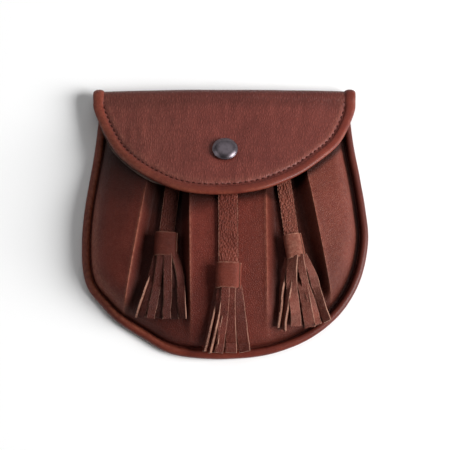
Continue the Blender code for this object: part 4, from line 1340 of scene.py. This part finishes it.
def make_tail_stitches():
    """Two straight rows on the tail's outer face, in the grooves pressed for them."""
    frames = []
    reach = TAIL_WIDTH / 2 - TAIL_STITCH_IN
    for up in TAIL_SEAMS:
        y = TOP - TAIL_LENGTH + up
        z = tail_height(y) - FLAP_LEATHER / 2
        path = np.array([(x, y, z) for x in np.linspace(-reach, reach, ROW_POINTS)])
        frames.append(stitch_frames(path, FLOORWARD, STITCH_PITCH))
    make_stitches("tail_stitches", frames, STITCH_LENGTH, TAIL_THREAD_RADIUS)


make_flap_stitches()
make_tail_stitches()

# %% [markdown]
# The snap is a pressed cap with a rolled rim, clenched through the flap. A sphere cut flat would do,
# but its rim and low dome catch the light in their own way, so it is a profile turned about the
# snap's axis, which leans with the flap. The stud under it stays the solid's own shape.

# %% Snap
SNAP_SIDES = 96
SNAP_PROFILE = table("radius height", [
    (0.00, 1.000),
    (0.20, 0.985),
    (0.40, 0.940),
    (0.60, 0.840),
    (0.76, 0.690),
    (0.86, 0.540),
    (0.915, 0.430),
    (0.935, 0.400),
    (0.955, 0.400),
    (0.985, 0.350),
    (1.00, 0.240),
    (0.995, 0.110),
    (0.965, 0.000),
    (0.28, 0.000),
    (0.28, -0.700),
    (0.00, -0.700),
])


SNAP_ROUNDED = 13
SLOPE_STEP = 0.004


def snap_frame():
    """Where the snap's axis meets the flap, and the flap's slope there."""
    y = TOP - SNAP_DROP
    low, here, high = flap_envelope(np.zeros(3), np.array([y - SLOPE_STEP, y, y + SLOPE_STEP]))
    return np.array([0, y, here]), math.atan2(high - low, 2 * SLOPE_STEP)


def make_snap():
    """The profile, rounded through its points and turned about Z, then leant and put in place."""
    places = np.column_stack([SNAP_PROFILE["radius"] * SNAP_RADIUS, SNAP_PROFILE["height"] * SNAP_DOME])
    rounded = outline_through(places[:SNAP_ROUNDED], 5)
    radius, height = np.concatenate([rounded, places[SNAP_ROUNDED:]])[1:-1].T[..., None]
    angle = round_angles(SNAP_SIDES)
    height = height + 0 * angle + FLAP_LEATHER / 2 + SEAM_GAP
    rings = np.stack([radius * np.cos(angle), radius * np.sin(angle), height], axis=2)
    place_at, slope = snap_frame()
    lean = np.array([
        [1, 0, 0],
        [0, math.cos(slope), -math.sin(slope)],
        [0, math.sin(slope), math.cos(slope)],
    ])
    piece = add_tube("snap_dome", rings @ lean.T + place_at, [nickel], crease=40)
    shown(piece, "snap_metal", "snap_cap")


make_snap()
stud_finish = bpy.data.objects["snap_stud"].data.materials
stud_finish.clear()
stud_finish.append(nickel)

# %% [markdown]
# Each tassel hangs on a strap of the thick, pebbled side of the hide, laid in a pleat. Straps and
# strips are ribbons with a grain face, a flesh face and pale cut edges, which is what makes leather
# look like leather where it ends. Their pebbles are large enough to break the light at the edge, so
# they are raised in the mesh itself, and the finer grain is left to the material.

# %% Ribbons


def pebbles(u, v, size, seed):
    """Domed cells from 0 to 1: second nearest less nearest distance to jittered lattice points."""
    jitter = np.random.default_rng(seed).uniform(0.1, 0.9, (LATTICE, LATTICE, 2))
    i, j = np.floor(u / size).astype(int), np.floor(v / size).astype(int)
    found = []
    for a, b in [(a, b) for a in (-1, 0, 1) for b in (-1, 0, 1)]:
        point = jitter[(i + a) % LATTICE, (j + b) % LATTICE]
        found.append(np.hypot(i + a + point[..., 0] - u / size, j + b + point[..., 1] - v / size))
    nearest = np.sort(found, axis=0)
    return smooth_step((nearest[1] - nearest[0]) / 0.55)


def resting_height(xy, width):
    """Where a ribbon comes to lie: a little clear of the highest point under its width."""
    shares = np.linspace(-0.5, 0.5, 7)[:, None, None]
    points = xy[None] + shares * np.reshape(width, (1, -1, 1)) * level_sides(xy)[None, :, :2]
    return lying_height(points[..., 0], points[..., 1]).max(0) + LYING_CLEAR


def ribbon_section(columns):
    """Across (-1 to 1) and up (0 to 1) places of a rounded section, and each side's material."""
    inset = 0.7 / columns
    top = np.linspace(1 - inset, inset - 1, columns)
    low = np.linspace(inset - 1, 1 - inset, max(4, columns // 3))
    across = np.concatenate([top, [-1, -1], low, [1, 1]])
    up = np.concatenate([np.ones(columns), [0.78, 0.22], np.zeros(len(low)), [0.22, 0.78]])
    numbers = np.concatenate([np.zeros(columns), [2, 2], np.ones(len(low)), [2, 2]])
    numbers[columns - 1] = 2
    return across, up, numbers.astype(int)


def add_ribbon(name, path, width, thickness, columns, twist=0.0, relief=None, materials=None, tone=(0, 0)):
    """A ribbon whose middle follows a path; twist turns it, tone is its painted shade, and its wear and
    painted light, all over.
    """
    across, up, numbers = ribbon_section(columns)
    side = level_sides(path)
    normal = np.cross(unit(np.gradient(path, axis=0)), side)
    turn = np.broadcast_to(twist, len(path))[:, None]
    side, normal = np.cos(turn) * side + np.sin(turn) * normal, np.cos(turn) * normal - np.sin(turn) * side
    wide = np.broadcast_to(width, len(path))[:, None] / 2 * across[None]
    tall = np.broadcast_to((up[None] - 0.5) * thickness, (len(path), len(across)))
    if relief is not None:
        tall = tall + relief(wide, lengths_along(path)[:, None] + 0 * wide) * (up[None] > 0.9)
    rings = path[:, None] + wide[..., None] * side[:, None] + tall[..., None] * normal[:, None]
    edge = bump(1 - abs(across), 0.06) * (up > 0.5)
    painted_shade, rubbed_and_lit = tone
    marks = {
        "rubbed_and_lit": np.broadcast_to(np.clip(0.6 * edge + rubbed_and_lit, 0, 1), wide.shape),
        "painted_shade": np.full(wide.shape, painted_shade),
    }
    materials = materials or [strap_leather, flesh_side, cut_edge]
    return add_tube(name, rings, materials, numbers, end_number=2, marks=marks)


# %% Straps
STRAP_LEATHER = 0.0018
STRAP_WIDTH = 0.0092
STRAP_START = 0.051
HEAD_LENGTH = 0.0152
HEAD_WIDTH = 0.0152
HEAD_THICKNESS = 0.0078
STRAP_ROWS = 170
STRAP_COLUMNS = 34
PEBBLE = 0.0016
LYING_CLEAR = 0.0006
STRAP_TUCK = 0.0007
STRAP_PEBBLE_DEPTH = 0.00042
STRAP_CROWN = 0.0003
STRAP_WAVE = 0.00012

# Start, head and tail are shares across, drop is the head's share down, strap and width are shares
# of the usual widths, end is where the wrap ends in degrees, then come its painted shade, and its
# wear and painted light, all over.
TASSEL_FACTS = "start head tail drop strap width end kept worn seed".split()
TASSEL_ROWS = {
    "left": (-0.352, -0.402, -0.410, 0.546, 1.0, 1.0, 14, 0.6, 0.0, 51),
    "centre": (0.020, 0.024, 0.019, 0.678, 1.304, 1.053, 14, 0.16, 0.0, 52),
    "right": (0.402, 0.459, 0.488, 0.554, 1.0, 0.803, 12, 0.0, 0.36, 53),
}
TASSELS = {side: dict(zip(TASSEL_FACTS, row)) for side, row in TASSEL_ROWS.items()}


def make_strap(side):
    """Ribbon over the highest points of the front under it, with pebbles and a rounded crown."""
    facts = TASSELS[side]
    seed = facts["seed"]
    width = facts["strap"] * STRAP_WIDTH
    start = np.array([facts["start"] * HALF, TOP - STRAP_START])
    end = np.array([facts["head"] * HALF, TOP - facts["drop"] * POUCH_LENGTH + STRAP_TUCK])
    xy = start + np.linspace(0, 1, STRAP_ROWS)[:, None] * (end - start)

    def relief(across, along):
        shift = 0.0012 * cloud(across, along, 0.0035, seed + 7)
        cell = pebbles(across + 0.45 * along + shift, 0.62 * along - 0.25 * across + shift, PEBBLE, seed)
        crown = -STRAP_CROWN * (across / width * 2) ** 4
        wave = STRAP_WAVE * cloud(across, along, 0.006, seed + 3)
        return crown + STRAP_PEBBLE_DEPTH * (cell - 1) + wave

    path = lifted(xy, resting_height(xy, width) + STRAP_LEATHER / 2)
    # The strap takes its tassel's painted shade, and its wear and painted light, all over.
    tone = (facts["kept"], facts["worn"])
    piece = add_ribbon("strap_" + side, path, width, STRAP_LEATHER, STRAP_COLUMNS, relief=relief, tone=tone)
    shown(piece, "tassel_leather", "tassel_strap_" + side)


for side in TASSELS:
    make_strap(side)

# %% [markdown]
# A tassel is a fringed strip rolled up round the end of its strap and glued. The roll is flattened
# where it lies. It could be a plain cylinder with a spiral drawn on its end. Here the strip itself is
# rolled, in two and a half turns, so its layers show at both ends and its last edge shows on top.

# %% Tassel heads
HEAD_TURNS = 2.55
HEAD_LAYER = 0.00125
HEAD_FULLER = 0.00025
LAYER_GAP = 0.00008
LINE_PITCH = 0.0021
LINE_DEPTH = 0.00013
HEAD_PEBBLE_DEPTH = 0.00004
HEAD_WAVE = 0.00022
HEAD_ROWS = 46
HEAD_COLUMNS = 230


def head_frame(side):
    """Plan ends of the head's axis, its level side vector, and the heights that it lies on."""
    facts = TASSELS[side]
    upper = np.array([facts["head"] * HALF, TOP - facts["drop"] * POUCH_LENGTH])
    lean = (facts["tail"] - facts["head"]) * HALF
    along = np.array([lean, -math.sqrt(HEAD_LENGTH**2 - lean**2)])
    xy = upper + np.array([0, 0.5, 1])[:, None] * along
    width = facts["width"] * HEAD_WIDTH
    low = resting_height(xy, width)
    lift = max(0, low[1] - (low[0] + low[2]) / 2)
    return upper, along, level_sides(xy)[0], (low[0] + lift, low[2] + lift), width


def roll_place(turn, depth, width):
    """A place on a flattened roll: depth is the distance from its middle line."""
    straight = width / 2 - HEAD_THICKNESS / 2
    return squared(np.cos(turn), 0.75) * (straight + depth), squared(np.sin(turn), 0.82) * depth


def make_head(side):
    """Spiral sheet: the middle line's distance grows by one layer a turn; the last turn is longest."""
    upper, along, across, low, width = head_frame(side)
    facts = TASSELS[side]
    seed = facts["seed"]
    last = math.radians(facts["end"])
    turn = last - 2 * math.pi * HEAD_TURNS * (1 - np.linspace(0, 1, HEAD_COLUMNS))
    left_to_go = (last - turn) / (2 * math.pi)
    outer_depth = HEAD_THICKNESS / 2 - HEAD_LAYER / 2 + HEAD_FULLER
    depth = outer_depth - (HEAD_LAYER + LAYER_GAP) * left_to_go
    skived = 1 - 0.6 * smooth_step(1 - left_to_go / 0.07)
    share = np.linspace(0, 1, HEAD_ROWS)[:, None]
    under = smooth_step((left_to_go - 0.9) / 0.2)
    recess = 0.13 * under + 0.012 * cloud_along(turn * 0.01, 0.006, seed)
    down = 0.05 * under + share * (1 - recess - 0.05 * (left_to_go > 1))
    outermost = np.clip(1 - (left_to_go - 0.85) / 0.1, 0, 1) * np.ones_like(share)
    u, v = np.broadcast_arrays(turn * width / 3, HEAD_LENGTH * share)
    cell = pebbles(u, v, PEBBLE * 0.8, seed + 20)
    grain = HEAD_PEBBLE_DEPTH * (cell - 1) + HEAD_WAVE * cloud(u, v, 0.005, seed + 9)
    wavy = v / LINE_PITCH + 0.25 * cloud(u, v, 0.004, seed)
    lines = -LINE_DEPTH * np.clip(np.cos(2 * math.pi * wavy), 0, 1) ** 3
    grids = []
    for face, relief in ((skived - 0.5, grain + lines), (-0.5, 0)):
        wide, tall = roll_place(turn + 0 * share, depth + face * HEAD_LAYER + outermost * relief, width)
        xy = upper + down[..., None] * along + wide[..., None] * across[:2]
        z = low[0] + down * (low[1] - low[0]) + HEAD_THICKNESS / 2 + tall
        grids.append(np.dstack([xy, z]))
    # The outer turn's top and lower edges are lighter, partly as wear and partly as a painted highlight; the
    # tassel's painted shade and its wear and painted light come from its row.
    ends = np.clip(bump(share, 0.022) + 0.5 * bump(1 - share, 0.03), 0, 1) * outermost * 0.9
    marks = {"rubbed_and_lit": np.clip(ends + facts["worn"], 0, 1), "painted_shade": np.full(u.shape, facts["kept"])}
    return add_wall("head_" + side, *grids, [head_leather, flesh_side, cut_edge], marks)


# %% Fringes
STRIP_LEATHER = 0.0015
STRIP_WIDTH = 0.0054
FRINGE_LENGTH = 0.0385
STRIP_ROWS = 90
STRIP_COLUMNS = 12
STRIP_PEBBLE_DEPTH = 0.00020
STRIP_WAVE = 0.0001
RIPPLE = 0.00035
ARCH = 0.001

# Root, across and down place a strip, width is a share, level and over are its heights at root and
# tip, twist and turn are degrees at root and tip, and bow and arch bend it aside and up.
STRIP_FACTS = "root across down width level over twist turn bow arch".split()
STRIPS = {
    "left": [
        (-0.40, -0.480, 0.915, 0.60, 0.26, 0.0, 20, 62, -0.020, 0.4),
        (-0.30, -0.372, 0.930, 0.90, 0.46, 0.3, 10, 14, -0.015, 1.2),
        (-0.17, -0.235, 0.975, 0.95, 0.66, 0.7, 4, -12, 0.006, 0.8),
        (-0.02, -0.090, 0.985, 0.88, 0.44, 0.0, -4, 8, 0.010, 0.3),
        (0.10, 0.030, 1.000, 0.92, 0.72, 0.8, 3, -9, 0.004, 0.9),
        (0.24, 0.160, 1.005, 0.95, 0.44, 0.0, -14, 24, 0.020, 1.8),
        (0.36, 0.290, 1.013, 0.92, 0.56, 0.6, -34, 22, 0.050, 1.2),
    ],
    "centre": [
        (-0.40, -0.375, 0.915, 0.62, 0.30, 0.0, 24, 64, -0.010, 0.5),
        (-0.31, -0.288, 0.948, 0.66, 0.50, 0.2, 20, 58, 0.014, 1.4),
        (-0.20, -0.220, 0.935, 0.70, 0.36, 0.0, 8, 30, 0.004, 0.2),
        (-0.10, -0.145, 0.940, 0.96, 0.70, 0.8, 2, -10, 0.010, 1.0),
        (0.10, 0.053, 0.940, 1.24, 0.62, 0.3, 3, 6, -0.008, 0.6),
        (0.30, 0.270, 0.925, 1.32, 0.50, 0.0, -6, 12, 0.016, 0.9),
    ],
    "right": [
        (-0.42, -0.300, 1.091, 0.60, 0.26, 0.0, 30, 70, -0.030, 0.5),
        (-0.30, -0.200, 1.130, 0.64, 0.50, 0.2, 34, 54, 0.022, 1.8),
        (-0.12, -0.010, 1.065, 1.22, 0.68, 0.8, 30, -16, -0.034, 1.8),
        (0.08, 0.225, 1.045, 1.20, 0.46, 0.3, -12, 14, 0.012, 1.0),
        (0.20, 0.360, 1.020, 0.90, 0.70, 0.9, 16, -14, -0.010, 1.6),
        (0.36, 0.509, 0.974, 1.00, 0.44, 0.0, -30, 26, 0.048, 2.0),
    ],
}


def strip_path(side, row, half_height):
    """From inside the head down to the tip: fans out by share^1.25, bows aside, comes to lie."""
    upper, along, across, low, width = head_frame(side)
    lower = upper + along
    down = along / HEAD_LENGTH
    root = lower - 0.10 * along + row["root"] * width * across[:2]
    tip = lower + FRINGE_LENGTH * np.array([row["across"], -row["down"]])
    share = np.linspace(0, 1, STRIP_ROWS)
    xy = root + np.stack([share**1.25, share], axis=1) * (tip - root)
    bow = row["bow"] * FRINGE_LENGTH * np.sin(math.pi * share) * (1 - share) * 2
    ripple = RIPPLE * cloud(share * 0.04, 0 * share + row["root"], 0.007, TASSELS[side]["seed"] + 30)
    xy = xy + (bow + ripple * share)[:, None] * np.array([-down[1], down[0]])
    root_height = low[1] + row["level"] * HEAD_THICKNESS
    lying = resting_height(xy, row["width"] * STRIP_WIDTH) + half_height + row["over"] * STRIP_LEATHER * share
    arch = ARCH * row["arch"] * bump(share - 0.28, 0.16)
    hang = root_height + (lying[-1] - root_height) * smooth_step(share * 1.1) + arch
    return lifted(xy, np.maximum(lying, hang))


def make_strip(side, number, row):
    """A ribbon that turns from its first twist to its last; it rests on its lower edge."""
    facts = TASSELS[side]
    seed = facts["seed"] + 40 + number
    share = np.linspace(0, 1, STRIP_ROWS)
    turn = row["twist"] + (row["turn"] - row["twist"]) * smooth_step(share * 1.2)
    twist = np.radians(turn + 7 * cloud_along(share * 0.04, 0.009, seed) * share)
    width = row["width"] * STRIP_WIDTH * (1 + 0.06 * cloud_along(share * 0.04, 0.008, seed + 1))
    half_height = abs(np.sin(twist)) * width / 2 + np.cos(twist) * STRIP_LEATHER / 2

    def relief(across, along):
        cell = pebbles(across, along, PEBBLE * 0.75, seed)
        return STRIP_PEBBLE_DEPTH * (cell - 1) + STRIP_WAVE * cloud(across, along, 0.004, seed + 2)

    name = "strip_%s_%d" % (side, number + 1)
    path = strip_path(side, row, half_height)
    # Strips that lie lowest, under the others, get more painted shade.
    tone = (facts["kept"] + 0.22 * (row["over"] < 0.1), facts["worn"])
    materials = [strip_leather, flesh_side, cut_edge]
    return add_ribbon(name, path, width, STRIP_LEATHER, STRIP_COLUMNS, twist, relief, materials, tone)


def make_tassel(side):
    """A head and its strips; the head stands for the whole solid of the tassel."""
    head = make_head(side)
    for number, row in enumerate(STRIPS[side]):
        piece = make_strip(side, number, dict(zip(STRIP_FACTS, row)))
    shown(head, "tassel_leather", "tassel_" + side)


for side in TASSELS:
    make_tassel(side)

# %% [markdown]
# Two loops on the back take the belt. Each is a strip sewn down at both ends, so that it stands off
# the bowed back between them. They are hardly seen, but someone who turns the pouch over looks for
# them first. They are ribbons too, laid over a height that steps from the back out to the belt.

# %% Belt loops
LOOP_WIDTH = 0.020
LOOP_LENGTH = 0.046
LOOP_FOOT = 0.008
LOOP_SLOPE = 0.006
LOOP_SPREAD = 0.096
LOOP_DROP = 0.055
LOOP_ROWS = 90
LOOP_STITCH_PITCH = 0.0030
LOOP_STITCH_LENGTH = 0.0022
LOOP_STITCH_IN = 0.0018
FOOT_STITCH_IN = 0.0013
LOOP_COLUMNS = 24


def loop_path(x):
    """Middle of the strip: under the back at both feet, LEATHER / 2 above the floor between."""
    y = TOP - LOOP_DROP + np.linspace(0.5, -0.5, LOOP_ROWS) * LOOP_LENGTH
    from_end = LOOP_LENGTH / 2 - abs(y - (TOP - LOOP_DROP))
    out = smooth_step((from_end - LOOP_FOOT) / LOOP_SLOPE)
    edges = x + np.linspace(-0.5, 0.5, 5)[:, None] * LOOP_WIDTH
    under = back_height(edges + 0 * y, y + 0 * edges).min(0) - SEAM_GAP - LEATHER / 2
    return np.column_stack([np.full(LOOP_ROWS, x), y, under + out * (LEATHER / 2 - under)])


def make_belt_loop(side, sign):
    """A ribbon down the loop's path, with its grain face toward the floor."""
    path = loop_path(sign * LOOP_SPREAD / 2)
    materials = [flesh_side, strap_leather, cut_edge]
    name = "belt_loop_leather_" + side
    piece = add_ribbon(name, path, LOOP_WIDTH, LEATHER, LOOP_COLUMNS, materials=materials)
    shown(piece, "body_leather", "belt_loop_" + side)


def make_loop_stitches(side, sign):
    """A box of stitches on each foot of a loop, on its outer (lower) face."""
    middle = loop_path(sign * LOOP_SPREAD / 2)
    half = LOOP_WIDTH / 2 - LOOP_STITCH_IN
    reach = LOOP_FOOT / 2 - FOOT_STITCH_IN
    box = np.array([(-half, -reach), (half, -reach), (half, reach), (-half, reach), (-half, -reach)])
    frames = []
    for foot in (1, -1):
        y = TOP - LOOP_DROP + foot * (LOOP_LENGTH / 2 - LOOP_FOOT / 2)
        line = spaced(np.array([middle[0, 0], y]) + box, np.linspace(0, 1, ROW_POINTS))
        path = lifted(line, np.interp(-line[:, 1], -middle[:, 1], middle[:, 2]) - LEATHER / 2)
        frames.append(stitch_frames(path, FLOORWARD, LOOP_STITCH_PITCH))
    make_stitches("loop_stitches_" + side, frames, LOOP_STITCH_LENGTH)


for make in (make_belt_loop, make_loop_stitches):
    make("left", LEFT)
    make("right", RIGHT)

# %% [markdown]
# The pouch lies on a pale floor in soft daylight from the right, as in the photograph. A single hard
# lamp would be simpler, but leather shows its grain in long soft highlights, so a large area light
# stands low at the right, and two far weaker ones fill in from beyond the top and from the left.

# %% Floor and light


def add_floor():
    """One large plane at the height that the solids lie on."""
    mesh = bpy.data.meshes.new("floor")
    mesh.from_pydata([(-3, -3, 0), (3, -3, 0), (3, 3, 0), (-3, 3, 0)], [], [(0, 1, 2, 3)])
    material, tree, shader = new_material("pale_floor")
    look = {"Base Color": (0.93, 0.93, 0.93, 1), "Roughness": 0.85, "Specular IOR Level": 0.2}
    fill_inputs(tree, shader, look)
    mesh.materials.append(material)
    floor = bpy.data.objects.new("floor", mesh)
    bpy.context.scene.collection.objects.link(floor)


def add_light(name, azimuth, height, distance, size, power):
    """An area light aimed at the pouch from an azimuth and a height in degrees."""
    light = bpy.data.objects.new(name, bpy.data.lights.new(name, "AREA"))
    bpy.context.scene.collection.objects.link(light)
    turn, rise = math.radians(azimuth), math.radians(height)
    away = np.array([math.cos(rise) * math.cos(turn), math.cos(rise) * math.sin(turn), math.sin(rise)])
    light.location = LOOK_AT + distance * away
    light.rotation_euler = (math.pi / 2 - rise, 0, turn + math.pi / 2)
    light.data.size = size
    light.data.energy = power


add_floor()
# Azimuth, height, distance, size and power in watts.
LIGHTS = {
    "key": (-10, 29, 2.6, 1.5, 140),
    "fill": (88, 48, 1.8, 1.9, 8.5),
    "left": (176, 34, 1.5, 1.0, 3.6),
}
for name, setting in LIGHTS.items():
    add_light(name, *setting)
world = bpy.data.worlds.new("soft_room")
world.use_nodes = True
look = {"Color": (1, 1, 1, 1), "Strength": 0.03}
fill_inputs(world.node_tree, world.node_tree.nodes["Background"], look)
bpy.context.scene.world = world
bpy.context.scene.view_settings.view_transform = "Standard"
print("lights:", list(LIGHTS), "and world", world.name)
